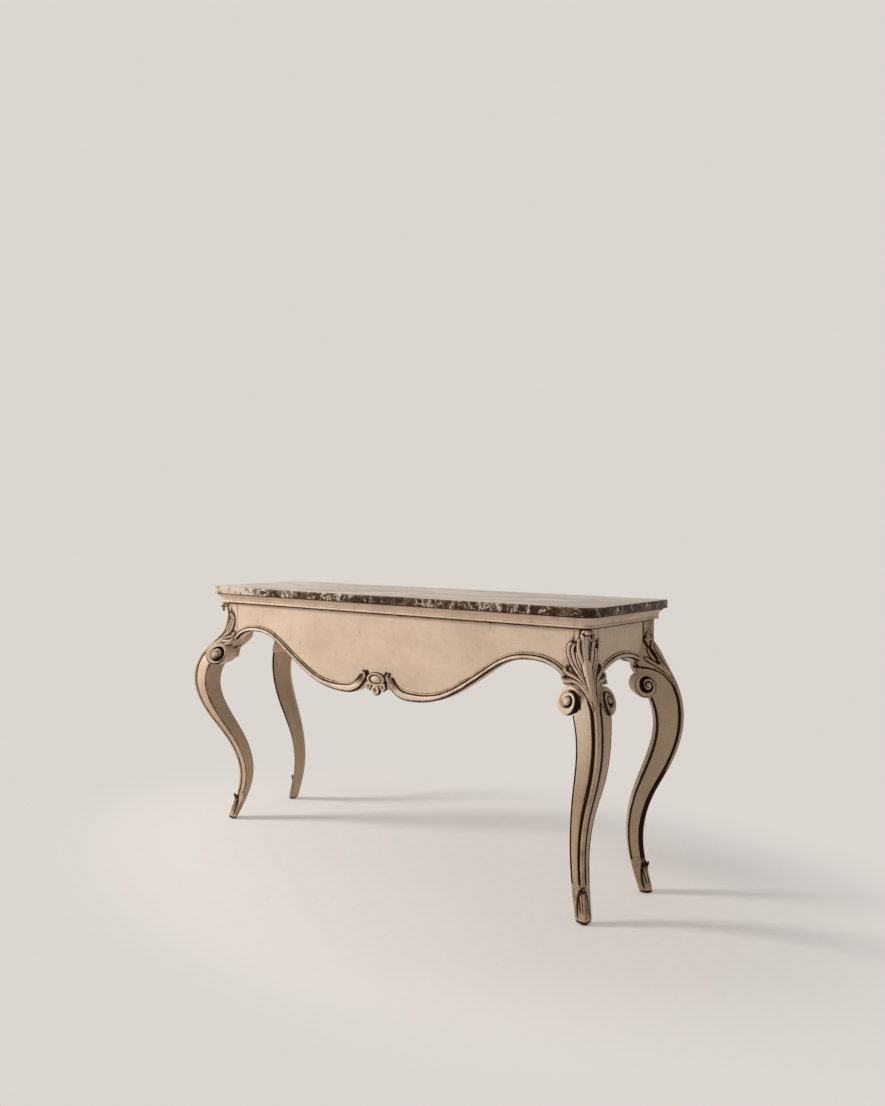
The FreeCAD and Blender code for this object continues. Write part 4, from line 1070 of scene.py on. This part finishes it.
def leg_shaft(shape, sizes, band_at, pockets):
    """The leg's own body, with its arris band, grooves, toe leaf and seats for the scrolls. A ring of points goes
    round the leg at each level: its front face, its side face and the cut inside, as p, q from the arris."""
    deep, half_groove, quirk = sizes.groove_deep / MM, sizes.groove_wide / MM / 2, sizes.quirk_deep / MM
    levels = np.concatenate([np.array([FOOT_Z, 3.6, 4.8, 6.5]), np.arange(8.5, 120, 1.8),
                             np.arange(120, 560, 3.2), np.arange(560, shape.top, 2.0)])
    t_face, t_in, bevel = np.linspace(0, 1, 57), np.linspace(0, 1, 25)[1:], np.linspace(0, 1, 9)[1:, None]
    rows = []
    for z in levels:
        out, w, flat = shape.out(z), shape.wide(z), max(shape.flat(z), 2.0)
        wf = w * shape.front
        front = np.column_stack([wf * (1 - t_face), 0 * t_face])
        side = np.column_stack([0 * t_face[1:], w * t_face[1:]])
        turned = np.array([w, w - flat]) if shape.front == 1.0 else np.array([(w + wf) / 2, 0.7 * w])
        cut_a = np.column_stack([(w - flat) * t_in, w + 0 * t_in])
        cut_b = cut_a[-1] * (1 - bevel) + turned * bevel
        cut_c = turned * (1 - t_in[:-1, None]) + np.array([wf, 0]) * t_in[:-1, None]
        ring = np.concatenate([front, side, cut_a, cut_b, cut_c])
        uncarved = np.full(len(cut_a) + len(cut_b) + len(cut_c), wf + 9.0)
        s = np.concatenate([wf * (1 - t_face), w * t_face[1:], uncarved])
        on_side = np.arange(len(s)) > 56
        edge = np.where(on_side, w, wf)
        for _ in range(11 + int(80 * (1 - ease(z, 6, 70)))):
            ring = 0.25 * np.roll(ring, 1, 0) + 0.5 * ring + 0.25 * np.roll(ring, -1, 0)
        way = np.roll(ring, -1, 0) - np.roll(ring, 1, 0)
        inward = np.column_stack([way[:, 1], -way[:, 0]])
        inward /= np.linalg.norm(inward, axis=1)[:, None]
        if ((ring.mean(axis=0) - ring) * inward).sum() < 0:
            inward = -inward
        band = band_at(z) * sizes.band / MM / 10.5 + on_side * shape.side_band
        up, groove_at = ease(z, 93, 109), band + half_groove
        carve = deep * hump(s, groove_at, half_groove) ** 0.7
        sunk = band + 0.42 * np.maximum(w - band, 1)
        carve += (s > groove_at) * 2.3 * (1 - ease(s, groove_at, sunk)) + 0.9 * ease(s, 0.62 * w, w)
        carve += quirk * hump(s, edge - 5.4, 2.5) ** 0.8
        carve *= up * (s < edge + 1)
        toe = toe_reach(s, z)
        carve += 3.4 * hump(toe, 1.12, 0.17) ** 0.7 * ease(z, 13, 30)
        carve += (toe < 0.98) * (1.3 * hump(s, 6.0, 1.8) + 1.7 * hump(s, 14.5, 2.4)) * ease(z, 20, 40)
        carve += 1.0 * (1 - up) * (toe > 1.2) - (toe < 1.0) * ease(z, 10, 40)
        if z < 15:
            carve = carve + 7.0 * (1 - math.sqrt(max(1 - ((15 - z) / 13) ** 2, 0)))
        ring = ring + inward * carve[:, None]
        for from_arris, height, radius, here, there in pockets:
            reach = radius ** 2 - (z - height) ** 2
            if reach > 0:
                inside = (ring[:, here] > from_arris - math.sqrt(reach)) & (ring[:, there] < 28)
                ring[:, there] = np.where(inside, 28.0, ring[:, there])
        rows.append(shape.world(out - ring[:, 0], -out + ring[:, 1], np.full(len(ring), z)))
    return sound(laid(closed(np.array(rows))))


def scroll_roll(shape, from_arris, side, grooves, radius, eye, turned=0.0, lean=0.55, raised=1.0, long=70.0,
                rim_line=0.0, drift=0.0, rise=0.0, painted_shade=0.0, tint=0.0, face_shade=0.0):
    """A volute: a thick roll with spiral grooves sunk in its face round a ball, at its place from the arris on
    the front face, or the side one. Its face is turned a little about the upright, leans with the leg's face and
    is raised off it, and its rim may drift away from the arris. The last three arguments darken the whole roll,
    its grooves and the rest of its face: painted shade on the scrolls that turn from the light, partly glaze in
    the grooves."""
    bend = 3.2 * np.sin(np.linspace(0, 1.45, 7)[1:])
    rings = np.concatenate([np.linspace(0, radius - 3.2, 56), radius - 3.2 + bend])
    turn = np.linspace(0, 2 * math.pi, 144, endpoint=False)
    rho, angle = np.meshgrid(rings, turn, indexing="ij")
    sink = np.zeros_like(rho)
    for at, middle, half, deep in grooves:
        for lap in (-1, 0, 1, 2):
            here = np.degrees(angle) + 360 * lap
            middle_here = np.interp(here, at, middle, left=-9, right=-9)
            half_here = np.interp(here, at, half, left=0.3, right=0.3)
            deep_here = np.interp(here, at, deep, left=0, right=0)
            sink = np.maximum(sink, deep_here * hump(rho, middle_here, half_here) ** 0.6)
    dome = np.sqrt(np.clip(eye ** 2 - rho ** 2, 0, None))
    lift = np.where(rho < eye, 0.9 * dome - 1.5, 1.2 * hump(rho, 0.72 * radius, 0.42 * radius))
    sink = np.where(rho < eye, 0, sink + rim_line * hump(rho, radius - 4.6, 1.5))
    over = np.clip(3.2 ** 2 - (rho - radius + 3.2) ** 2, 0, None)
    rim = np.where(rho > radius - 3.2, 3.2 - np.sqrt(over), 0)
    out = shape.out(SCROLL_Z)

    def place(along, up, off):
        """A point of the roll: along towards the arris and up from its middle, off the leg's face."""
        z = SCROLL_Z + rise + up
        near, far = out - from_arris + along, out + off + raised - turned * along + lean * (shape.out(z) - out)
        return shape.world(far, -near, z) if side else shape.world(near, -far, z)
    along, up = rho * np.cos(angle) - drift * rho / radius, rho * np.sin(angle)
    rows = list(place(along, up, lift - sink - rim))
    # glaze in the deep grooves; painted shade over the rest of the grooves and the face, as much as asked
    glaze_and_shade = np.maximum((sink - 1.6) / 4.5, face_shade + (tint - face_shade) * (sink > 0.8))
    line = [np.clip(row, 0, 1.2) for row in glaze_and_shade]
    none = np.zeros(len(turn))
    inward = place(along[-1], up[-1], none - 1.0) - place(along[-1], up[-1], none)
    for depth, shrink in ((4, 0), (14, 0.2), (30, 0.8), (0.72 * long, 2.5), (0.88 * long, 5), (0.96 * long, 9),
                          (long, 18), (long, 30)):
        k = (radius - shrink) / radius
        x = radius * k * np.cos(turn) - drift
        at, level = place(x, radius * k * np.sin(turn), none), place(x, none, none)
        share = min(1.0, depth / 60.0)
        rows.append(at * (1 - share) + (level * [1, 1, 0] + at * [0, 0, 1]) * share + inward * depth)
        line.append(none)
    rows.append(np.repeat(rows[-1].mean(axis=0)[None], len(turn), axis=0))
    line.append(none)
    item = laid(closed(np.array(rows)))
    write_value(item.data, "line", closed(np.array(line)[..., None]).ravel())
    mark_recesses(sound(item), 6, 40, 0.9, 4.0)
    # painted shade over the whole roll, as much as asked
    write_value(item.data, "painted_shade", np.full(len(item.data.vertices), painted_shade))
    return smooth_shade(item)


def groove(*rows):
    return np.array(rows, float).T


# the scrolls' spiral grooves: angle from the arris, radius of the groove's middle, half its width, its depth
FRONT_GROOVE = [groove(
    (-98, 38.5, 1.5, 2), (-70, 37, 4.4, 7), (-45, 35.6, 6.4, 10), (-20, 34.2, 7.6, 12), (0, 33.2, 8, 12.5),
    (25, 31.6, 7.6, 12), (50, 29, 6.2, 9.5), (75, 26, 4.8, 6), (100, 23.6, 5, 3), (135, 21.6, 7, 2.4),
    (180, 20.4, 8, 2.3), (225, 18.4, 6.4, 2.8), (270, 15.6, 4.6, 6), (315, 13.8, 5, 9), (360, 13.4, 5.2, 10),
    (405, 12.6, 4.4, 8), (450, 11.6, 3, 4), (500, 10.4, 2, 2))]
FAR_GROOVE = [
    groove((-40, 20, 1.2, 2), (0, 20.5, 1.6, 3), (50, 22.5, 2.6, 5), (90, 24.5, 4.2, 9), (130, 25.2, 7, 13),
           (180, 25, 8.2, 15), (220, 23, 8.4, 14), (260, 20.5, 6.2, 10), (300, 18.8, 3.2, 6), (340, 19, 1.8, 3),
           (365, 20, 1, 1.5)),
    groove((60, 10.5, 1, 2), (110, 11.8, 2.8, 7), (180, 12.4, 3.2, 10), (250, 11.8, 3, 9), (310, 10.5, 1.4, 2)),
    groove((-175, 36, 1.5, 4), (-140, 35.5, 2.8, 7.5), (-90, 35, 2.8, 7.5), (-40, 35, 2, 5), (0, 35.5, 1.2, 2.5))]
SIDE_GROOVE = [groove(
    (-98, 37.5, 1.5, 2), (-70, 34.5, 4.2, 7), (-45, 31.5, 6, 10), (-20, 29.2, 7, 12), (0, 28.4, 7.4, 12.5),
    (25, 28, 7.2, 12), (50, 27, 6, 9.5), (75, 24.6, 4, 5), (100, 21.6, 3.4, 4), (135, 19, 5.4, 8),
    (180, 16.8, 7.4, 12), (225, 14.8, 6.4, 12), (270, 13.2, 5.4, 11), (315, 12.6, 5, 11), (360, 12.4, 4.8, 11),
    (405, 12, 4.4, 10), (450, 11.2, 3.2, 6), (500, 10.4, 2, 2.5))]
BACK_GROOVE = [groove(
    (-50, 30, 1.2, 2), (-20, 27.5, 1.6, 3), (10, 25, 2.4, 4.5), (45, 23.5, 3.6, 8), (90, 22, 5, 10),
    (135, 19.5, 5.8, 11.5), (180, 16.5, 6, 12), (225, 17, 5.8, 12), (270, 17.5, 5.2, 11), (315, 16, 4.6, 10),
    (360, 13.5, 4, 9), (405, 11.5, 3.6, 8), (450, 10, 3.2, 7), (495, 8.8, 2.8, 6), (540, 7.6, 2.4, 5),
    (590, 6.6, 1.9, 4), (640, 5.8, 1.4, 2.5))]


def rib(shape, knots, radii, side=False, least=None, curl=0.0, base=True, count=44):
    """A rib of the leaf on a leg's face: a stem half sunk in the wood over a deeper one, with a curled tip."""
    knots = np.array(knots, float)
    line = spline(knots, count)
    t = np.linspace(0, 1, count)
    thick = np.interp(t, np.linspace(0, 1, len(radii)), radii)
    lift = 0.10 * thick + curl * np.clip(1 - t / 0.16, 0, 1) ** 1.5
    path = shape.on_face(line[:, 0], line[:, 1], lift, side, least)
    items = [stem(path, thick)]
    if base:
        under = shape.on_face(line[:, 0], line[:, 1], -0.95 * thick - 2.2, side, least)
        items.append(stem(under[2:], 1.35 * thick[2:] + 1.4))
    return items


def front_leaf(shape):
    """The leaf that covers a front post's corner, on both faces, with its rolled tip under the cornice."""
    front_ribs = [
        ([(50, 779), (58, 772), (61, 758), (59, 744), (52, 727), (38, 706), (25, 686), (15, 668), (9, 645)],
         (4.6, 4.8, 5.0, 4.8, 4.4, 3.6, 2.4), 4.0),
        ([(42, 776), (48, 764), (46, 745), (36, 721), (23, 699), (14, 679), (7, 655)],
         (3.2, 4.2, 4.4, 4.2, 3.8, 3.2, 2.2), 1.0),
        ([(36, 752), (31, 735), (19, 709), (10, 688), (4, 664)], (2.4, 4.0, 4.0, 3.4, 2.4), 0.0),
        ([(71, 707), (72, 700), (62, 692), (45, 686), (30, 676), (18, 660), (9, 636)],
         (4.2, 4.4, 4.6, 4.6, 4.2, 3.4, 2.2), 4.0),
        ([(84, 688), (86, 679), (74, 675), (54, 676), (36, 670), (24, 657), (14, 634), (10, 612)],
         (4.0, 4.4, 4.8, 4.8, 4.4, 3.8, 3.0, 1.8), 4.0),
        ([(27, 790), (30, 776), (27, 751), (16, 726), (7, 702), (2, 678)], (3.6, 4.8, 5.0, 4.6, 4.0, 3.2), 1.0),
    ]
    side_ribs = [
        ([(50, 781), (55, 773), (52, 749), (44, 725), (33, 702), (20, 682), (10, 655)],
         (4.8, 5.2, 5.4, 5.0, 4.4, 3.6, 2.4), 5.0),
        ([(40, 764), (40, 748), (33, 725), (22, 700), (11, 676)], (3.4, 4.4, 4.4, 3.8, 2.8), 1.0),
        ([(24, 790), (24, 770), (19, 742), (12, 715), (6, 693), (3, 672)], (3.6, 4.6, 4.8, 4.4, 3.8, 3.0), 1.0),
        ([(66, 716), (70, 706), (60, 694), (44, 686), (30, 674), (18, 654)], (4.0, 4.4, 4.6, 4.4, 3.8, 2.6), 4.0),
        ([(76, 694), (79, 684), (66, 677), (48, 676), (32, 668), (20, 650), (12, 625)],
         (4.0, 4.4, 4.8, 4.6, 4.2, 3.4, 2.0), 4.0),
    ]
    items = [item for ribs, side in ((front_ribs, False), (side_ribs, True)) for knots, radii, curl in ribs
             for item in rib(shape, knots, radii, side, least=1.0, curl=curl)]

    def diagonal(out, z, across=0.0, lift=0.0):
        """A point over the post's corner: out along both faces, across to the side."""
        out, across = np.asarray(out, float) + lift / ROOT2, np.asarray(across, float) / ROOT2
        return shape.world(out + across, -out + across, np.asarray(z, float))
    spine = spline([(66, 596), (57, 620), (45, 642), (31, 662), (13, 688), (0, 712), (-8, 738), (-11, 762),
                    (-11, 784), (-8, 799), (-2, 808), (3.5, 810), (7, 806), (7, 801)], 100)
    reach = np.linspace(0, 1, 100)
    spread = np.interp(spine[:, 1], [596, 640, 700, 760, 790, 806], [0.35, 0.45, 0.6, 0.8, 1.0, 1.1])
    stems = ((-9.5, 6, 0.8, 0, 60), (-5.5, 6.6, 0, 0, 62), (-1, 5, 1.9, 0, 60), (3.5, 6.8, 0, 0, 62),
             (7.5, 6.4, 0.4, 0, 60), (10.5, 5.6, 1.6, 0, 66), (-8, 9, 3.4, 44, 97), (-2, 10, 3.2, 40, 99),
             (4, 9, 3.6, 44, 95), (11.5, 4.6, 1.8, 44, 90), (-7, 6.5, 8, 0, 82), (7, 6.5, 8, 0, 82))
    for across, radius, sunk, start, stop in stems:
        thick = radius * np.interp(reach, [0, 0.25, 0.6, 0.85, 1], [0.40, 0.7, 1.0, 0.95, 0.72])
        path = diagonal(spine[:, 0] - sunk, spine[:, 1], across * spread)
        items.append(stem(path[start:stop], thick[start:stop], around=14))
    turn = np.linspace(0, 2 * math.pi, 30)
    hook = diagonal(1.5 + 0 * turn, HOOK_Z + 10.5 * np.sin(turn), HOOK_ACROSS + 9.0 * np.cos(turn))
    items.append(stem(hook, np.full(30, 3.6)))
    core = spline([(56, 600), (44, 630), (26, 660), (4, 688), (-10, 712), (-21, 740), (-23, 764), (-19, 788),
                   (-16, 812)], 50)
    thick = np.interp(np.linspace(0, 1, 50), [0, 0.4, 1], [8, 13, 15])
    items.append(stem(diagonal(core[:, 0], core[:, 1]), thick))
    return items


def post_block(low, high, chamfer=0.0, under=0.0, inner_y=None):
    """A post, from its lowest to its highest corner, with its outer corner and its lower inner edges planed off
    where asked."""
    low, high = np.array(low, float), np.array(high, float)
    item = block(low, high)

    def lies(p, axis, level):
        return np.abs(p[:, axis] - level).max() < 0.1
    if chamfer:
        bevelled(item, lambda p: lies(p, 0, high[0]) and lies(p, 1, low[1]), chamfer, segments=1)
    if under:
        bevelled(item, lambda p: lies(p, 2, low[2]) and (lies(p, 0, low[0]) or lies(p, 1, inner_y)), under,
                 segments=3, profile=0.35)
    edit(item)
    bpy.ops.mesh.quads_convert_to_tris()
    leave_edit()
    return sound(item)


def toe_curl(shape):
    """The small rolled tip at the top of a foot's leaf."""
    t = np.linspace(0, 1, 16)
    levels = spline([(0, 67), (0, 77), (0, 85), (0, 91), (0, 93)], 16)[:, 1]
    out = shape.out(levels) + np.interp(t, [0, 0.5, 0.8, 1], [-3.5, 0.5, 5.0, 8.0]) / ROOT2
    items = [stem(shape.world(out, -out, levels), np.interp(t, [0, 0.7, 1], [3.4, 4.4, 3.4]))]
    for side in (False, True):
        knots = [(11, 94), (7, 88), (6, 79), (8, 65)]
        items += rib(shape, knots, (2.2, 2.8, 2.4, 1.6), side, curl=2.5, base=False, count=20)
    return items


class TABLE_OT_front_legs(bpy.types.Operator):
    """Carves the front legs with their posts, leaves and toes, and the scrolls beside their knees"""
    bl_idname = "table.front_legs"
    bl_label = "Front legs"

    def execute(self, context):
        sizes = context.scene.table_sizes
        shape = LegShape(FRONT_STATIONS, (POST_X, FRONT_Y), 0.0)

        def band_at(z):
            return np.interp(z, [90, 165, 300, 400, 530, 612, 636, 655, 667, 680],
                             [8, 8.5, 9.5, 10.5, 11, 11.4, 17, 30, 52, 90])
        radius = sizes.scroll_radius / MM - 1.5
        eye = sizes.eye_radius / MM - 2.0
        pocket = [(88.0, SCROLL_Z, radius - 2.0, 0, 1), (70.0, SCROLL_Z, radius - 2.0, 1, 0)]
        parts = [leg_shaft(shape, sizes, band_at, pocket)]
        filler = spline([(-46, 36, 712), (-41, 30, 680), (-37, 23, 640), (-34, 18, 618)], 16)
        parts.append(stem(shape.world(*filler.T), np.linspace(17, 18, 16), around=24))
        parts.append(post_block((POST_IN_X, FRONT_Y, 690), (POST_X, FRONT_POST_IN_Y, UNDERSIDE), 32, 27,
                                FRONT_POST_IN_Y))
        parts += front_leaf(shape) + toe_curl(shape)
        leg = fused(joined(parts), sizes.carving_grain, smooth=2)
        trimmed(leg, 2, UNDERSIDE)
        trimmed(leg, 0, POST_IN_X, np.maximum)
        smooth_shade(leg)
        # The left leg, copied first, keeps the light glaze. The right leg then gets wider, darker grooves, partly
        # painted shade, and through its scroll a painted shade crescent and a painted shade hollow under the
        # hook.
        twin = mirror_copy(glaze_leg(leg, shape, band_at, (5.0, 4.0, 0.0, 0.22, 0.42)))
        glaze_leg(leg, shape, band_at, (13.5, 14.0, 0.16, 1.2, 0.7), scroll=(86.5, radius))
        painted(leg, "leg_carved_front_right", "leg_front_right")
        painted(twin, "leg_carved_front_left", "leg_front_left")
        # The right-hand scrolls carry painted shade, the side one over its whole face and the front one in its
        # grooves; their left-hand copies have none.
        scrolls = (("front", False, 86.5, 83.5, 0.5, dict(grooves=FRONT_GROOVE, eye=eye, turned=-0.20, tint=0.2)),
                   ("side", True, 78.0, 65.0, 1.5, dict(grooves=SIDE_GROOVE, eye=eye - 1.5, turned=-0.06,
                                                        drift=-10.0, painted_shade=1.0, tint=0.2, face_shade=0.2)))
        for face, side, right_place, left_place, raised, carving in scrolls:
            roll = scroll_roll(shape, right_place, side, radius=radius, raised=raised, **carving)
            far = scroll_roll(shape, left_place, side, FAR_GROOVE, radius, eye, turned=-0.42, raised=1.0 + raised,
                              long=62.0)
            twin = mirror_copy(far)
            bpy.data.objects.remove(far)
            painted(roll, "scroll_carved_front_right_" + face, "scroll_front_right_" + face)
            painted(twin, "scroll_carved_front_left_" + face, "scroll_front_left_" + face)
        return {"FINISHED"}


class TABLE_OT_back_legs(bpy.types.Operator):
    """Carves the back legs, which stand cornerwise to the wall, with their posts, leaves and scrolls"""
    bl_idname = "table.back_legs"
    bl_label = "Back legs"

    def execute(self, context):
        sizes = context.scene.table_sizes
        shape = LegShape(BACK_STATIONS, (POST_X, BACK_ARRIS_Y), math.pi / 4)

        def band_at(z):
            return np.interp(z, [90, 165, 300, 400, 530, 598, 634, 662, 680, 687],
                             [8, 8.5, 9.5, 10, 10.5, 10.5, 13, 25, 46, 90])
        pocket = [(98.0, SCROLL_Z + 6, 30.0, 0, 1)]
        parts = [leg_shaft(shape, sizes, band_at, pocket)]
        parts.append(post_block((POST_IN_X, SEAM_Y, 690), (POST_X, BACK_Y, UNDERSIDE), 0, 9, SEAM_Y))
        parts.append(post_block((POST_IN_X + 2, BACK_POST_IN_Y, 700), (POST_X - 9, SEAM_Y + 3, UNDERSIDE)))
        ribs = [([(8, 758), (16, 747), (23, 732), (23, 714), (17, 690), (7, 664)],
                 (3.0, 3.8, 4.2, 4.2, 3.8, 2.2), 2.0),
                ([(36, 738), (39, 724), (35, 709), (26, 690), (15, 670), (9, 645)],
                 (2.8, 3.8, 4.2, 4.0, 3.4, 2.0), 1.0),
                ([(60, 712), (51, 703), (38, 692), (22, 676), (12, 655), (8, 628)],
                 (3.2, 4.0, 4.4, 4.2, 3.4, 2.0), 2.0)]
        for knots, radii, curl in ribs:
            parts += rib(shape, knots, radii, False, curl=curl)
        leg = fused(joined(parts + toe_curl(shape)), sizes.carving_grain, smooth=2)
        trimmed(leg, 2, UNDERSIDE)
        trimmed(leg, 1, BACK_Y)
        # Painted shade on every face of the back legs; their darker glaze, dark on the arris band too, is partly
        # painted shade.
        glaze_leg(leg, shape, band_at, (8.5, 6.0, 0.8, 1.1, 0.9), True)
        x, y, z = (coordinates(leg.data) / MM).T
        # a dark line at the seam with the side apron; low on the post it is also a painted shadow of the leaf
        slot = (np.abs(y - SEAM_Y + 3.0) < 3.6) & (x > POST_X - 12) & (z > 694)
        write_value(leg.data, "recess", np.maximum(read_value(leg.data, "recess"), 1.2 * slot))
        painted_pair(smooth_shade(leg), "leg_carved_back_#", "leg_back_#")
        # painted shade over the faces of the back scrolls
        roll = scroll_roll(shape, 90.0, False, BACK_GROOVE, sizes.scroll_radius / MM - 3.6, 4.6, lean=0.8,
                           long=72.0, rim_line=2.4, drift=11.0, rise=6.0, painted_shade=0.55)
        trimmed(roll, 1, BACK_Y)
        painted_pair(roll, "scroll_carved_back_#", "scroll_back_#")
        return {"FINISHED"}


# ---------------------------------------------------------------- panel and running order
STEPS = ("stage", "finishes", "slab", "cornice", "aprons", "beads", "ornament", "front_legs", "back_legs")


class TABLE_PT_pieces(bpy.types.Panel):
    """The table's pieces, in the order in which they are made"""
    bl_idname = "TABLE_PT_pieces"
    bl_label = "Pier table"
    bl_space_type = "VIEW_3D"
    bl_region_type = "UI"
    bl_category = "Table"

    def draw(self, context):
        for step in STEPS:
            self.layout.operator("table." + step)
        for group in (context.scene.table_sizes, context.scene.table_colours):
            box = self.layout.box()
            for name in group.bl_rna.properties.keys():
                if name not in ("rna_type", "name"):
                    box.prop(group, name)


CLASSES = (TableSizes, TableColours, TABLE_OT_stage, TABLE_OT_finishes, TABLE_OT_slab, TABLE_OT_cornice,
           TABLE_OT_aprons, TABLE_OT_beads, TABLE_OT_ornament, TABLE_OT_front_legs, TABLE_OT_back_legs,
           TABLE_PT_pieces)


def register():
    for item in CLASSES:
        bpy.utils.register_class(item)
    bpy.types.Scene.table_sizes = PointerProperty(type=TableSizes)
    bpy.types.Scene.table_colours = PointerProperty(type=TableColours)


def unregister():
    del bpy.types.Scene.table_colours
    del bpy.types.Scene.table_sizes
    for item in reversed(CLASSES):
        bpy.utils.unregister_class(item)


def main():
    register()
    for step in STEPS:
        getattr(bpy.ops.table, step)()


if __name__ == "__main__":
    main()
